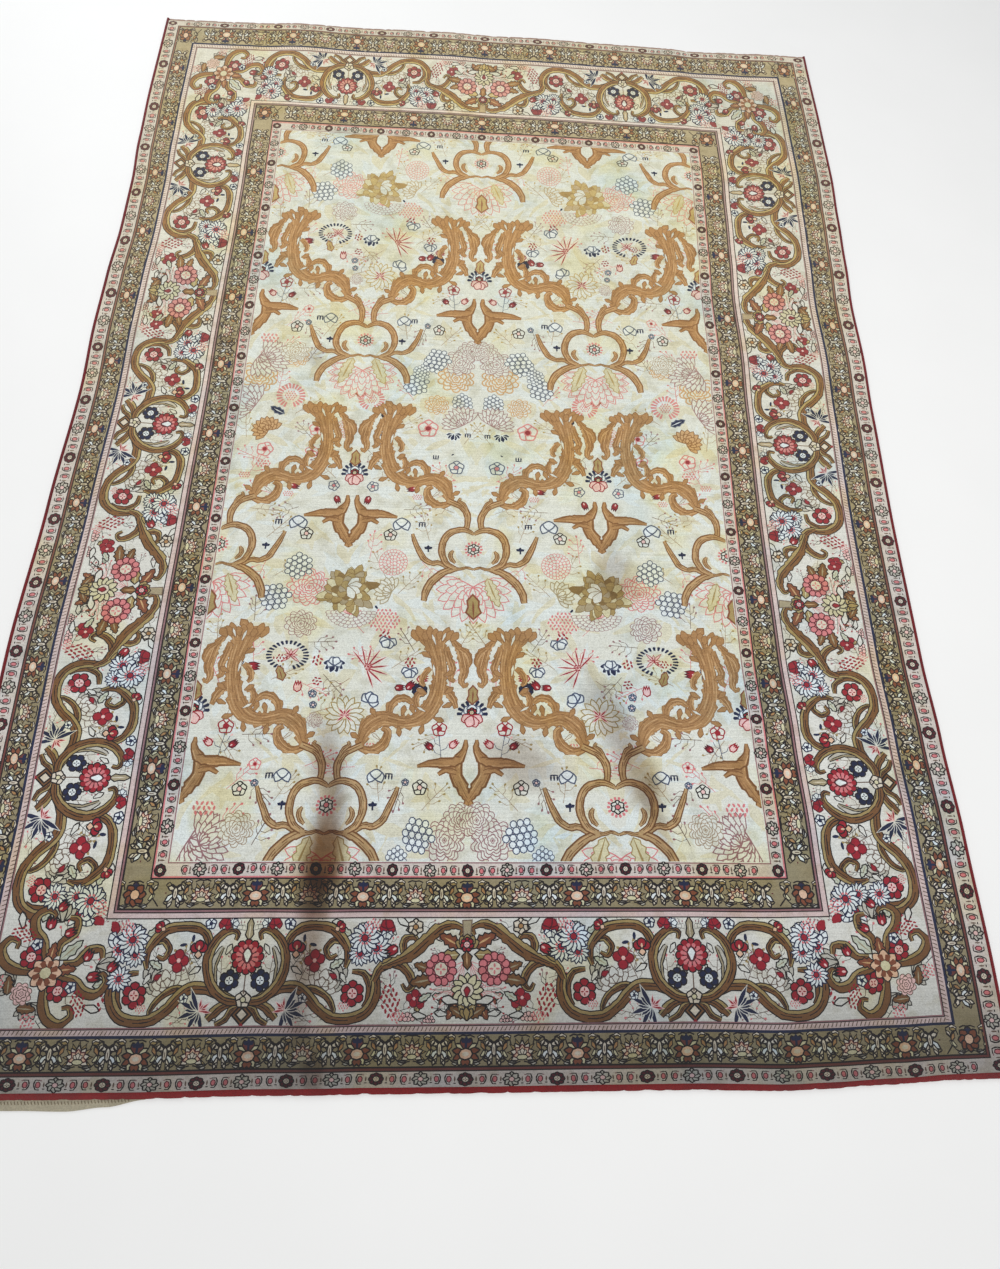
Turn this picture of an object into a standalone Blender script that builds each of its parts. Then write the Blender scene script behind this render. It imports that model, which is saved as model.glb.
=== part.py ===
"""A hand-knotted floor rug, laid flat, with red side selvedges and end bands.

The rug lies on its flat underside, with its width along X, its length along
+Y and its pile up. The origin is the middle of its underside. Its edges are
a little uneven, and a few soft ripples lift it off the floor, as a well used
rug lies. Each piece that a weaver makes or sews on is its own solid.
"""

from collections import namedtuple
import math

import bpy
from mathutils import Vector

MM = 0.001

# Overall size, to the outermost points of the edges
HALF_WIDTH = 1260.0 * MM
HALF_LENGTH = 1766.5 * MM

# The pieces' own sizes
RUG_THICKNESS = 8.0 * MM
SELVEDGE_WIDTH = 11.0 * MM
SELVEDGE_THICKNESS = 9.0 * MM
BAND_WIDTH = 14.0 * MM
BAND_THICKNESS = 5.0 * MM
TAPE_THICKNESS = 2.0 * MM
PIECE_GAP = 0.3 * MM

# How finely each piece is divided
RUG_COLUMNS = 31
RUG_ROWS = 41
SELVEDGE_SIDES = 8
TAPE_COLUMNS = 10

# How far each side is drawn in from the overall size, going up the rug
SideStation = namedtuple("SideStation", "y_mm left_in_mm right_in_mm")
SIDE_STATIONS = (
    SideStation(-1700, 10, 4),
    SideStation(-1500, 12, 2),
    SideStation(-1200, 10, 8),
    SideStation(-950, 4, 18),
    SideStation(-720, 0, 28),
    SideStation(-320, 12, 31),
    SideStation(80, 24, 25),
    SideStation(300, 17, 18),
    SideStation(500, 19, 22),
    SideStation(700, 27, 13),
    SideStation(900, 26, 7),
    SideStation(1100, 16, 0),
    SideStation(1350, 11, 3),
    SideStation(1720, 12, 10),
)

# How far each end is drawn in from the overall size, going across the rug
EndStation = namedtuple("EndStation", "x_mm near_in_mm far_in_mm")
END_STATIONS = (
    EndStation(-1210, 27, 29),
    EndStation(-1050, 25, 25),
    EndStation(-900, 24, 19),
    EndStation(-750, 23, 9),
    EndStation(-510, 25, 10),
    EndStation(-300, 24, 3),
    EndStation(-160, 23, 0),
    EndStation(0, 22, 6),
    EndStation(150, 22, 2),
    EndStation(450, 21, 8),
    EndStation(700, 16, 12),
    EndStation(780, 18, 22),
    EndStation(950, 24, 15),
    EndStation(1090, 30, 8),
    EndStation(1210, 32, 10),
)

# How far the cream tape shows beyond the near band, going across the rug
TapeStation = namedtuple("TapeStation", "x_mm shows_mm")
TAPE_STATIONS = (
    TapeStation(-1240, 16),
    TapeStation(-1000, 20),
    TapeStation(-900, 22),
    TapeStation(-820, 15),
    TapeStation(-735, 2),
)

# The soft ripples: middle, length and width on the floor, turn from +Y, rise
Ripple = namedtuple("Ripple", "x_mm y_mm length_mm width_mm turn_deg rise_mm")
RIPPLES = (
    Ripple(-400, -1400, 1150, 270, 2, 5.0),
    Ripple(370, -1060, 760, 280, -24, 4.5),
    Ripple(690, -1560, 620, 250, 8, 3.0),
    Ripple(-1080, -720, 900, 330, -4, 4.0),
    Ripple(-700, 1620, 560, 330, 12, 3.5),
    Ripple(820, 1560, 520, 300, -14, 3.0),
    Ripple(1080, 180, 800, 320, 3, 3.0),
)

# Colour, roughness and metallic value of each material
Finish = namedtuple("Finish", "red green blue roughness metallic")
FINISHES = {
    "knotted_pile": Finish(0.62, 0.55, 0.43, 0.85, 0.0),
    "red_wool": Finish(0.33, 0.02, 0.03, 0.80, 0.0),
    "red_weft": Finish(0.24, 0.02, 0.03, 0.85, 0.0),
    "pink_weft": Finish(0.55, 0.38, 0.32, 0.85, 0.0),
    "cream_canvas": Finish(0.58, 0.52, 0.40, 0.90, 0.0),
}


def clear_scene():
    """Remove every object of the open file."""
    for item in list(bpy.data.objects):
        bpy.data.objects.remove(item, do_unlink=True)


def eased(value, stations, position_column, value_column):
    """Return a column's value in metres at a place, eased between stations."""
    places = [getattr(row, position_column) * MM for row in stations]
    sizes = [getattr(row, value_column) * MM for row in stations]
    if value <= places[0]:
        return sizes[0]
    for index in range(1, len(places)):
        if value <= places[index]:
            share = (value - places[index - 1]) / (places[index] - places[index - 1])
            share = share * share * (3.0 - 2.0 * share)
            return sizes[index - 1] + share * (sizes[index] - sizes[index - 1])
    return sizes[-1]


def left_edge(y):
    """Return the X of the rug's left side, selvedge included."""
    return eased(y, SIDE_STATIONS, "y_mm", "left_in_mm") - HALF_WIDTH


def right_edge(y):
    """Return the X of the rug's right side, selvedge included."""
    return HALF_WIDTH - eased(y, SIDE_STATIONS, "y_mm", "right_in_mm")


def near_edge(x):
    """Return the Y of the rug's near end, band included and tape left out."""
    return eased(x, END_STATIONS, "x_mm", "near_in_mm") - HALF_LENGTH


def far_edge(x):
    """Return the Y of the rug's far end, band included."""
    return HALF_LENGTH - eased(x, END_STATIONS, "x_mm", "far_in_mm")


def lift(x, y):
    """Return how far the soft ripples raise the underside at a place."""
    height = 0.0
    for ripple in RIPPLES:
        turn = math.radians(ripple.turn_deg)
        dx = x - ripple.x_mm * MM
        dy = y - ripple.y_mm * MM
        across = dx * math.cos(turn) + dy * math.sin(turn)
        along = dy * math.cos(turn) - dx * math.sin(turn)
        across_share = 2.0 * across / (ripple.width_mm * MM)
        along_share = 2.0 * along / (ripple.length_mm * MM)
        if abs(across_share) < 1.0 and abs(along_share) < 1.0:
            bump = math.cos(0.5 * math.pi * across_share) ** 2
            bump *= math.cos(0.5 * math.pi * along_share) ** 2
            height += ripple.rise_mm * MM * bump
    return height


def material(name):
    """Return the named material, made on its first use."""
    made = bpy.data.materials.get(name)
    if made:
        return made
    finish = FINISHES[name]
    made = bpy.data.materials.new(name)
    made.use_nodes = True
    shader = made.node_tree.nodes["Principled BSDF"]
    shader.inputs["Base Color"].default_value = (finish.red, finish.green, finish.blue, 1.0)
    shader.inputs["Roughness"].default_value = finish.roughness
    shader.inputs["Metallic"].default_value = finish.metallic
    return made


def woven_piece(name, collection, material_name, columns, rows, thickness, place):
    """Build one flat woven piece from a grid and a Solidify modifier.

    The function place takes two shares from 0 to 1, across and along the
    piece, and gives the X and Y of that point of its underside.
    """
    bpy.ops.mesh.primitive_grid_add(x_subdivisions=columns, y_subdivisions=rows, size=2.0)
    piece = bpy.context.object
    piece.name = name
    piece.data.name = name
    for vertex in piece.data.vertices:
        across = 0.5 * (vertex.co.x + 1.0)
        along = 0.5 * (vertex.co.y + 1.0)
        x, y = place(across, along)
        vertex.co = Vector((x, y, lift(x, y)))
    solidify = piece.modifiers.new("thickness", "SOLIDIFY")
    solidify.thickness = thickness
    solidify.offset = 1.0
    move_to(piece, collection)
    piece.data.materials.append(material(material_name))
    return piece


def move_to(item, collection):
    """Link an object to the rug's collection only."""
    for other in list(item.users_collection):
        other.objects.unlink(item)
    collection.objects.link(item)


def row_y(x, along):
    """Return the Y of a share of the way up the knotted rug, at one X."""
    near = near_edge(x) + BAND_WIDTH + PIECE_GAP
    far = far_edge(x) - BAND_WIDTH - PIECE_GAP
    return near + along * (far - near)


def rug_place(across, along):
    """Place a point of the knotted rug inside the selvedges and bands."""
    left = left_edge(row_y(-HALF_WIDTH, along)) + SELVEDGE_WIDTH + PIECE_GAP
    right = right_edge(row_y(HALF_WIDTH, along)) - SELVEDGE_WIDTH - PIECE_GAP
    x = left + across * (right - left)
    return x, row_y(x, along)


def band_place(edge, outwards):
    """Return the place function of an end band.

    The band's inner line keeps the gap to the knotted rug, and it stops at
    the inner lines of the selvedges.
    """
    end_y = outwards * HALF_LENGTH

    def place(across, along):
        left = left_edge(end_y) + SELVEDGE_WIDTH + PIECE_GAP
        right = right_edge(end_y) - SELVEDGE_WIDTH - PIECE_GAP
        x = left + across * (right - left)
        from_edge = along if outwards < 0 else 1.0 - along
        return x, edge(x) - outwards * from_edge * BAND_WIDTH

    return place


def tape_place(across, along):
    """Place a point of the cream tape just beyond the near band."""
    first = TAPE_STATIONS[0].x_mm * MM
    last = TAPE_STATIONS[-1].x_mm * MM
    x = first + across * (last - first)
    shows = eased(x, TAPE_STATIONS, "x_mm", "shows_mm")
    top = near_edge(x) - PIECE_GAP
    return x, top - (1.0 - along) * shows


def selvedge_profile(collection):
    """Build the selvedge's flat-bottomed round section as a curve."""
    outline = bpy.data.curves.new("selvedge_profile", "CURVE")
    outline.dimensions = "2D"
    spline = outline.splines.new("POLY")
    spline.points.add(SELVEDGE_SIDES - 1)
    for index, point in enumerate(spline.points):
        angle = -2.0 * math.pi * (index + 0.5) / SELVEDGE_SIDES
        reach = 1.0 / math.cos(math.pi / SELVEDGE_SIDES)
        across = 0.5 * SELVEDGE_WIDTH * reach * math.cos(angle)
        up = 0.5 * SELVEDGE_THICKNESS * reach * math.sin(angle)
        point.co = (across, up, 0.0, 1.0)
    spline.use_cyclic_u = True
    guide = bpy.data.objects.new("selvedge_profile", outline)
    guide.hide_render = True
    guide.display_type = "WIRE"
    collection.objects.link(guide)
    return guide


def selvedge(name, collection, profile, edge, outwards):
    """Sweep the selvedge's section along one side of the rug.

    It turns at the rug's own rows, so the gap between them stays even.
    """
    route = bpy.data.curves.new(name, "CURVE")
    route.dimensions = "3D"
    route.twist_mode = "Z_UP"
    route.bevel_mode = "OBJECT"
    route.bevel_object = profile
    route.use_fill_caps = True
    side = outwards * HALF_WIDTH
    stops = [near_edge(side)]
    stops += [row_y(side, row / RUG_ROWS) for row in range(RUG_ROWS + 1)]
    stops += [far_edge(side)]
    spline = route.splines.new("POLY")
    spline.points.add(len(stops) - 1)
    for y, point in zip(stops, spline.points):
        x = edge(y) - outwards * 0.5 * SELVEDGE_WIDTH
        inner = x - outwards * 0.5 * SELVEDGE_WIDTH
        point.co = (x, y, lift(inner, y) + 0.5 * SELVEDGE_THICKNESS, 1.0)
    piece = bpy.data.objects.new(name, route)
    collection.objects.link(piece)
    route.materials.append(material("red_wool"))
    return piece


def build_rug():
    """Build every piece of the rug."""
    clear_scene()
    rug = bpy.data.collections.new("persian_rug")
    guides = bpy.data.collections.new("guides")
    bpy.context.scene.collection.children.link(rug)
    bpy.context.scene.collection.children.link(guides)

    woven_piece("knotted_rug", rug, "knotted_pile", RUG_COLUMNS, RUG_ROWS,
                RUG_THICKNESS, rug_place)
    woven_piece("near_end_band", rug, "red_weft", RUG_COLUMNS, 1,
                BAND_THICKNESS, band_place(near_edge, -1.0))
    woven_piece("far_end_band", rug, "pink_weft", RUG_COLUMNS, 1,
                BAND_THICKNESS, band_place(far_edge, 1.0))
    woven_piece("near_end_tape", rug, "cream_canvas", TAPE_COLUMNS, 1,
                TAPE_THICKNESS, tape_place)
    profile = selvedge_profile(guides)
    selvedge("left_selvedge", rug, profile, left_edge, -1.0)
    selvedge("right_selvedge", rug, profile, right_edge, 1.0)


build_rug()
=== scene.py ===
"""Looks of a hand-knotted floral rug that lies flat on a pale floor.

The pile is drawn the way a weaver's cartoon is: every flower, leaf, scroll and
stripe is a closed outline with a yarn, laid one over another. One constrained
triangulation turns the whole cartoon into pile panels, and each face keeps the
dye of the yarn that lies on top. Lengths in the cartoon are millimetres on an
even rug, which is then stretched to the uneven rug that lies on the floor.
"""

from __future__ import annotations

import logging
import math
from dataclasses import dataclass, field
from enum import Enum
from typing import Callable, Iterable, Sequence

import bpy
import numpy as np
from mathutils import Matrix, Vector
from mathutils.geometry import delaunay_2d_cdt

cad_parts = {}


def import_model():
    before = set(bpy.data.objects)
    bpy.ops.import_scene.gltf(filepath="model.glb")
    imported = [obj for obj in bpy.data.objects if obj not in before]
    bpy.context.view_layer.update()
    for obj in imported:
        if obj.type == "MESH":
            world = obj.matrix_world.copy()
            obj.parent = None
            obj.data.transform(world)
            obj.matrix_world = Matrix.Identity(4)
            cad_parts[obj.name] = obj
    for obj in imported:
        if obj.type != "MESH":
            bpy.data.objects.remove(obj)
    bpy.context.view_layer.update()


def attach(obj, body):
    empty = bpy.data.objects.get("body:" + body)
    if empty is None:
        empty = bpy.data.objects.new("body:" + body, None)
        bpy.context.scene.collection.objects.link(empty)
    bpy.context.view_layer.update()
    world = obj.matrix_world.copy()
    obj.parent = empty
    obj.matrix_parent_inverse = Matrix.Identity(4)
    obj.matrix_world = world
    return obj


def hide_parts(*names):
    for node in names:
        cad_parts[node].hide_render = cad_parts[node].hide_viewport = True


LOG = logging.getLogger("rug")
# Metres in a millimetre: the cartoon is in millimetres, the scene in metres.
MM = 0.001
BODY = "root"
BAKE_MAP = "OFBake"

# Outlines are drawn this many times as wide as the tables give them.
OUTLINE = 1.8

Points = np.ndarray


def dots(*rows: tuple[float, ...]) -> Points:
    """Return points as an array."""
    return np.array(rows, float)


@dataclass(frozen=True)
class LitAndShadedDye:
    """Display colour of a yarn, from 0 to 255, at the near and the far end, with painted light: the near
    colour is darker, cooler and more contrasty as painted shade, the far colour lighter and warmer as
    painted light.
    """

    near: tuple[int, int, int]
    far: tuple[int, int, int]


class Yarn(Enum):
    """The dyed yarns of the pile."""

    FIELD_IVORY = LitAndShadedDye((216, 219, 211), (224, 224, 202))
    BORDER_IVORY = LitAndShadedDye((214, 215, 209), (226, 222, 200))
    GUARD_IVORY = LitAndShadedDye((204, 196, 190), (218, 208, 186))
    COOL_WHITE = LitAndShadedDye((222, 231, 234), (230, 232, 216))
    STRAW = LitAndShadedDye((206, 202, 168), (218, 208, 164))
    SAGE = LitAndShadedDye((190, 198, 182), (204, 206, 178))
    OCHRE = LitAndShadedDye((166, 127, 84), (190, 143, 86))
    OCHRE_EDGE = LitAndShadedDye((138, 99, 62), (158, 114, 64))
    OCHRE_LIGHT = LitAndShadedDye((196, 160, 116), (214, 172, 116))
    RING_CORE = LitAndShadedDye((174, 146, 106), (198, 154, 98))
    RING_EDGE = LitAndShadedDye((112, 74, 42), (160, 112, 62))
    BROWN = LitAndShadedDye((116, 80, 48), (164, 120, 68))
    KHAKI = LitAndShadedDye((158, 148, 122), (198, 176, 130))
    OLIVE = LitAndShadedDye((156, 136, 90), (204, 178, 112))
    OLIVE_DARK = LitAndShadedDye((116, 94, 58), (182, 150, 88))
    MINOR_GROUND = LitAndShadedDye((144, 134, 106), (186, 170, 128))
    MINOR_PALE = LitAndShadedDye((214, 206, 190), (230, 218, 184))
    GROUND_STRAW = LitAndShadedDye((213, 211, 190), (222, 216, 182))
    GROUND_COOL = LitAndShadedDye((216, 224, 222), (226, 228, 212))
    STONE = LitAndShadedDye((184, 182, 172), (210, 200, 174))
    LINE = LitAndShadedDye((30, 24, 27), (82, 66, 48))
    SOFT_LINE = LitAndShadedDye((104, 86, 76), (160, 136, 104))
    TWIG = LitAndShadedDye((158, 138, 116), (190, 168, 132))
    NAVY = LitAndShadedDye((28, 36, 68), (50, 54, 72))
    SLATE = LitAndShadedDye((72, 82, 108), (118, 124, 126))
    RED = LitAndShadedDye((150, 28, 44), (158, 76, 68))
    MAROON = LitAndShadedDye((86, 22, 36), (112, 56, 52))
    ROSE = LitAndShadedDye((206, 120, 126), (222, 160, 140))
    PINK = LitAndShadedDye((228, 190, 188), (236, 204, 180))
    PINK_STRIPE = LitAndShadedDye((206, 186, 184), (232, 214, 194))
    MAUVE = LitAndShadedDye((146, 106, 112), (182, 152, 138))
    RUST = LitAndShadedDye((126, 72, 50), (164, 112, 72))
    PEACH = LitAndShadedDye((220, 184, 158), (230, 196, 158))
    BRICK = LitAndShadedDye((108, 56, 52), (160, 118, 92))


class Zone(Enum):
    """The parts of the design, as distances out from the field's edge."""

    FIELD = (-9999.0, 0.0)
    INNER_GUARD = (0.0, 36.0)
    INNER_MINOR = (36.0, 105.0)
    MAIN = (127.0, 357.0)
    OUTER_CORD = (362.5, 376.0)
    OUTER_MINOR = (380.0, 446.0)
    OUTER_GUARD = (452.0, 9999.0)


FIELD_HALF_WIDTH = 731.0
FIELD_HALF_LENGTH = 1222.0
BORDER_WIDTH = 495.0
RUG_HALF_WIDTH = FIELD_HALF_WIDTH + BORDER_WIDTH
RUG_HALF_LENGTH = FIELD_HALF_LENGTH + BORDER_WIDTH


class Side(Enum):
    """A side of the rug, with how a border runs along it."""

    NEAR = "near"
    FAR = "far"
    LEFT = "left"
    RIGHT = "right"

    def place(self, points: Points, out: float) -> Points:
        """Lay points, given along a side and in from a line, on the rug.

        Args:
            points: Places along the side from its middle, and inwards.
            out: How far the line lies out from the field's edge.

        Returns:
            The points on the even rug.
        """
        along, inward = points[:, 0], points[:, 1]
        across = FIELD_HALF_WIDTH + out - inward
        upward = FIELD_HALF_LENGTH + out - inward
        places = {
            Side.NEAR: (along, -upward), Side.FAR: (along, upward),
            Side.LEFT: (-across, along), Side.RIGHT: (across, along)}
        return np.stack(places[self], 1)

    @property
    def is_end(self) -> bool:
        """Tell whether this side is one of the rug's two short ends."""
        return self in (Side.NEAR, Side.FAR)


def smooth(points: Points, spacing: float = 7.0, closed: bool = False) -> Points:
    """Return an even smooth curve through a few points.

    Args:
        points: The points that the curve passes through.
        spacing: The rough distance between the points of the result.
        closed: Whether the curve returns to its first point.

    Returns:
        Points along a Catmull-Rom curve.
    """
    if closed:
        held = np.concatenate([points[-1:], points, points[:2]])
    else:
        held = np.concatenate([[2.0 * points[0] - points[1]], points, [2.0 * points[-1] - points[-2]]])
    runs = []
    for p0, p1, p2, p3 in zip(held, held[1:], held[2:], held[3:]):
        steps = max(1, round(float(np.linalg.norm(p2[:2] - p1[:2])) / spacing))
        t = (np.arange(steps) / steps)[:, None]
        cubic = 3.0 * p1 - p0 - 3.0 * p2 + p3
        square = 2.0 * p0 - 5.0 * p1 + 4.0 * p2 - p3
        runs.append(0.5 * (2.0 * p1 + (p2 - p0) * t + square * t**2 + cubic * t**3))
    return np.concatenate(runs if closed else runs + [points[-1:]])


def band(path: Points, low: Points | float, high: Points | float) -> Points:
    """Return the closed outline between two offsets on the left of a path."""
    step = np.gradient(path, axis=0)
    normal = np.stack([-step[:, 1], step[:, 0]], 1)
    normal /= np.maximum(np.linalg.norm(normal, axis=1), 1e-9)[:, None]
    low_line = path + normal * np.broadcast_to(low, len(path))[:, None]
    high_line = path + normal * np.broadcast_to(high, len(path))[:, None]
    return np.concatenate([high_line, low_line[::-1]])


def grown(outline: Points, by: float) -> Points:
    """Return a closed outline moved outwards, or inwards for less than zero."""
    ahead = np.roll(outline, -1, 0) - outline
    behind = outline - np.roll(outline, 1, 0)
    ahead /= np.maximum(np.linalg.norm(ahead, axis=1), 1e-9)[:, None]
    behind /= np.maximum(np.linalg.norm(behind, axis=1), 1e-9)[:, None]
    tangent = ahead + behind
    normal = np.stack([tangent[:, 1], -tangent[:, 0]], 1)
    length = np.maximum(np.linalg.norm(normal, axis=1), 0.7)[:, None]
    x, y = outline[:, 0], outline[:, 1]
    turns = np.sign(np.sum(x * np.roll(y, -1) - y * np.roll(x, -1)))
    return outline + (turns or 1.0) * by * 2.0 * normal / length**2


def disc(radius: float, x: float = 0.0, y: float = 0.0, sides: int = 8) -> Points:
    """Return a round outline."""
    angle = 2.0 * math.pi * np.arange(sides) / sides
    return np.stack([x + radius * np.cos(angle), y + radius * np.sin(angle)], 1)


def oval(width: float, height: float, x: float = 0.0, y: float = 0.0, sides: int = 8) -> Points:
    """Return an oval outline."""
    return disc(0.5, 0.0, 0.0, sides) * (width, height) + (x, y)


def scalloped(radius: float, lobes: int, depth: float, steps: int = 4) -> Points:
    """Return a round outline with lobes along its edge."""
    angle = 2.0 * math.pi * np.arange(lobes * steps) / (lobes * steps)
    reach = radius * (1.0 - depth + depth * np.abs(np.sin(0.5 * lobes * angle)) ** 0.7)
    return np.stack([reach * np.cos(angle), reach * np.sin(angle)], 1)


def petal(length: float, width: float, fullness: float = 0.8) -> Points:
    """Return a petal from the origin up to its tip, widest past its middle."""
    share = np.array([0.0, 0.3, 0.62, 0.9])
    half = 0.5 * width * np.sin(math.pi * share ** (1.0 / fullness)) ** 0.8
    half[0] = 0.1 * width
    left = np.stack([-half, share * length], 1)
    return np.concatenate([left, dots((0.0, length)), (left * (-1.0, 1.0))[::-1]])


def uneven(points: Points) -> Points:
    """Return places moved a few millimetres, as in a rug knotted by eye."""
    x, y = points[:, 0], points[:, 1]
    moved = points.copy()
    for pace, reach in ((0.0071, 2.6), (0.05, 1.0)):
        moved[:, 0] += reach * np.sin(pace * (1.1 * y + 0.4 * x) + 1.3) * np.cos(0.8 * pace * x)
        moved[:, 1] += reach * np.sin(pace * (x - 0.5 * y) + 0.4) * np.cos(0.9 * pace * y + 2.0)
    return moved


def turned(points: Points, degrees: float) -> Points:
    """Return points turned about the origin, counterclockwise."""
    c, s = math.cos(math.radians(degrees)), math.sin(math.radians(degrees))
    return points @ np.array([[c, s], [-s, c]])


class Motif:
    """A drawn motif: closed outlines with their yarns, the lowest first."""

    def __init__(self) -> None:
        """Start an empty motif."""
        self.patches: list[tuple[Points, Yarn]] = []

    def add(self, outline: Points, yarn: Yarn) -> Motif:
        """Lay one closed outline on top."""
        self.patches.append((np.asarray(outline, float), yarn))
        return self

    def edged(self, outline: Points, yarn: Yarn, line: Yarn, width: float = 2.2) -> Motif:
        """Lay one closed outline on top of a slightly larger one."""
        return self.add(grown(outline, OUTLINE * width), line).add(outline, yarn)

    def join(
        self, other: Motif, x: float = 0.0, y: float = 0.0, turn: float = 0.0, size: float = 1.0,
        flip: bool = False
    ) -> Motif:
        """Lay another motif on top.

        Args:
            other: The motif to lay.
            x: Where its origin goes, across.
            y: Where its origin goes, up.
            turn: How far it turns counterclockwise, in degrees.
            size: How many times larger it becomes.
            flip: Whether it is first mirrored from left to right.

        Returns:
            This motif.
        """
        for outline, yarn in other.patches:
            self.add(turned(outline * (-size if flip else size, size), turn) + (x, y), yarn)
        return self

    def mirrored(self) -> Motif:
        """Return this motif with its mirror image about the upright axis."""
        both = Motif()
        for outline, yarn in self.patches:
            both.add(outline, yarn).add(outline * (-1.0, 1.0), yarn)
        return both

    def stroke(self, path: Points, width: float, yarn: Yarn, spacing: float = 9.0) -> Motif:
        """Lay a thin even line along a smooth path."""
        return self.add(band(smooth(path, spacing), -0.5 * width, 0.5 * width), yarn)

    def ring_of(self, count: int, outline: Points, yarn: Yarn, line: Yarn | None = None,
            width: float = 2.0) -> Motif:
        """Lay copies of an outline round the origin, each lined on its own."""
        for index in range(count):
            shape = turned(outline, 360.0 * index / count)
            if line:
                self.add(grown(shape, OUTLINE * width), line)
            self.add(shape, yarn)
        return self

    def spread(self, count: int, angle: float, outline: Points, yarn: Yarn, line: Yarn,
            width: float = 1.8) -> Motif:
        """Lay copies of an outline across an angle, the middle one on top."""
        angles = np.linspace(-0.5 * angle, 0.5 * angle, count)
        for turn in sorted(angles, key=lambda a: -abs(a)):
            self.edged(turned(outline, turn), yarn, line, width)
        return self


@dataclass(frozen=True)
class Blossoms:
    """The cartoon's stock of flowers, buds, leaves and fruit.

    Every method returns a motif about the origin, in millimetres.
    """

    line_width: float = 2.0

    def rosette(self, radius: float, petals: int, yarn: Yarn, heart: Yarn, line: Yarn = Yarn.LINE) -> Motif:
        """Draw a round flower of bead-like petals about a heart."""
        bead = 0.95 * math.pi * radius / (petals + 2.2)
        at = radius - bead
        made = Motif().add(disc(at, sides=12), yarn)
        made.ring_of(petals, disc(bead, 0.0, at), yarn, line, 0.8 * self.line_width)
        made.edged(disc(0.42 * radius, sides=9), heart, line, 1.4)
        return made.ring_of(4, oval(0.14 * radius, 0.3 * radius, 0.0, 0.2 * radius, 5), yarn)

    def daisy(
        self, radius: float, petals: int, yarn: Yarn, line: Yarn, heart: Yarn, share: float = 0.3
    ) -> Motif:
        """Draw a flower of many lined petals about a small heart."""
        made = Motif().ring_of(petals, petal(radius, 1.7 * math.pi * radius / petals), yarn, line, 1.6)
        return made.edged(disc(share * radius), heart, line, 1.3)

    def fan(self, radius: float, petals: int, angle: float, yarn: Yarn, line: Yarn,
            width: float = 1.0) -> Motif:
        """Draw petals that spread upwards from one point."""
        leaf = petal(radius, width * 1.5 * math.radians(angle) * radius / petals)
        return Motif().spread(petals, angle, leaf, yarn, line, 1.5)

    def fans(self, radius: float, rows: int, angle: float, yarn: Yarn, line: Yarn, start: int = 5) -> Motif:
        """Draw rows of lined petals, one fan inside another."""
        made = Motif()
        for row in range(rows, 0, -1):
            made.join(self.fan(radius * row / rows, start + 2 * row, angle, yarn, line, 0.8))
        return made

    def scales(self, radius: float, rows: int, angle: float, yarn: Yarn, line: Yarn) -> Motif:
        """Draw a fan of overlapping round petals in rows."""
        made = Motif()
        for row in range(rows, 0, -1):
            at, size = radius * (row - 0.45) / rows, 0.62 * radius / rows
            count = max(2, round(math.radians(angle) * at / (1.5 * size)))
            for index in range(count):
                place = turned(dots((0.0, at)), angle * ((index + 0.5) / count - 0.5))[0]
                made.add(disc(size + 0.9, *place), line).add(disc(size - 1.0, *place), yarn)
        return made

    def layered(self, radius: float, layers: int, lobes: int, yarn: Yarn, line: Yarn,
            width: float = 1.9) -> Motif:
        """Draw a full flower as rings of lined scallops, one inside another."""
        made = Motif()
        for layer in range(layers):
            ring = scalloped(radius * (1.0 - layer / layers), max(4, lobes - layer), 0.2)
            ring = turned(ring * (1.0, 0.92), 23.0 * layer)
            made.add(ring, line).add(grown(ring, -width), yarn)
        return made.add(disc(0.06 * radius, sides=5), line)

    def grapes(self, across: int, rows: int, size: float, line: Yarn = Yarn.SLATE) -> Motif:
        """Draw a bunch of pale round berries in shifted rows."""
        made = Motif()
        for row in range(rows):
            count = max(2, round(across - abs(row - (rows - 1) / 2.0)))
            for index in range(count):
                x = (index - 0.5 * (count - 1)) * size + 3.0 * math.sin(2.0 * row)
                y = (row - 0.5 * (rows - 1)) * 0.86 * size
                made.add(disc(0.57 * size, x, y), line).add(disc(0.41 * size, x, y, 7), Yarn.COOL_WHITE)
        return made

    def beads(self, width: float, height: float, size: float, yarn: Yarn) -> Motif:
        """Draw a loose oval cluster of small knots."""
        made, pitch = Motif(), 1.35 * size
        for row in range(-11, 12):
            for column in range(-11, 12):
                x, y = (column + 0.5 * (row % 2)) * pitch, row * 0.9 * pitch
                if (2.0 * x / width) ** 2 + (2.0 * y / height) ** 2 < 1.0:
                    bead = turned(oval(0.75 * size, 1.4 * size, sides=5),
                            40.0 * math.sin(2.3 * row + 1.7 * column))
                    made.add(bead + (x, y), yarn)
        return made

    def rays(self, inner: float, outer: float, count: int, angle: float, yarn: Yarn) -> Motif:
        """Draw short pointed strokes that stand round part of a ring."""
        width = max(3.2, 0.6 * math.radians(angle) * outer / count)
        dart = dots((-0.3 * width, inner), (-0.5 * width, outer - 3.0), (0.0, outer),
                    (0.5 * width, outer - 3.0), (0.3 * width, inner))
        made = Motif()
        for index in range(count):
            made.add(turned(dart, angle * ((index + 0.5) / count - 0.5)), yarn)
        return made

    def spiky(self, radius: float, count: int, angle: float, yarn: Yarn, line: Yarn) -> Motif:
        """Draw a carnation of narrow pointed petals."""
        made = Motif()
        for index in range(count):
            length = radius * (0.8 + 0.2 * math.cos(3.1 * index))
            dart = petal(length, 0.2 * radius, 1.15)
            turn = angle * ((index + 0.5) / count - 0.5)
            made.edged(turned(dart, turn), yarn, line, 0.9)
        return made

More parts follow.
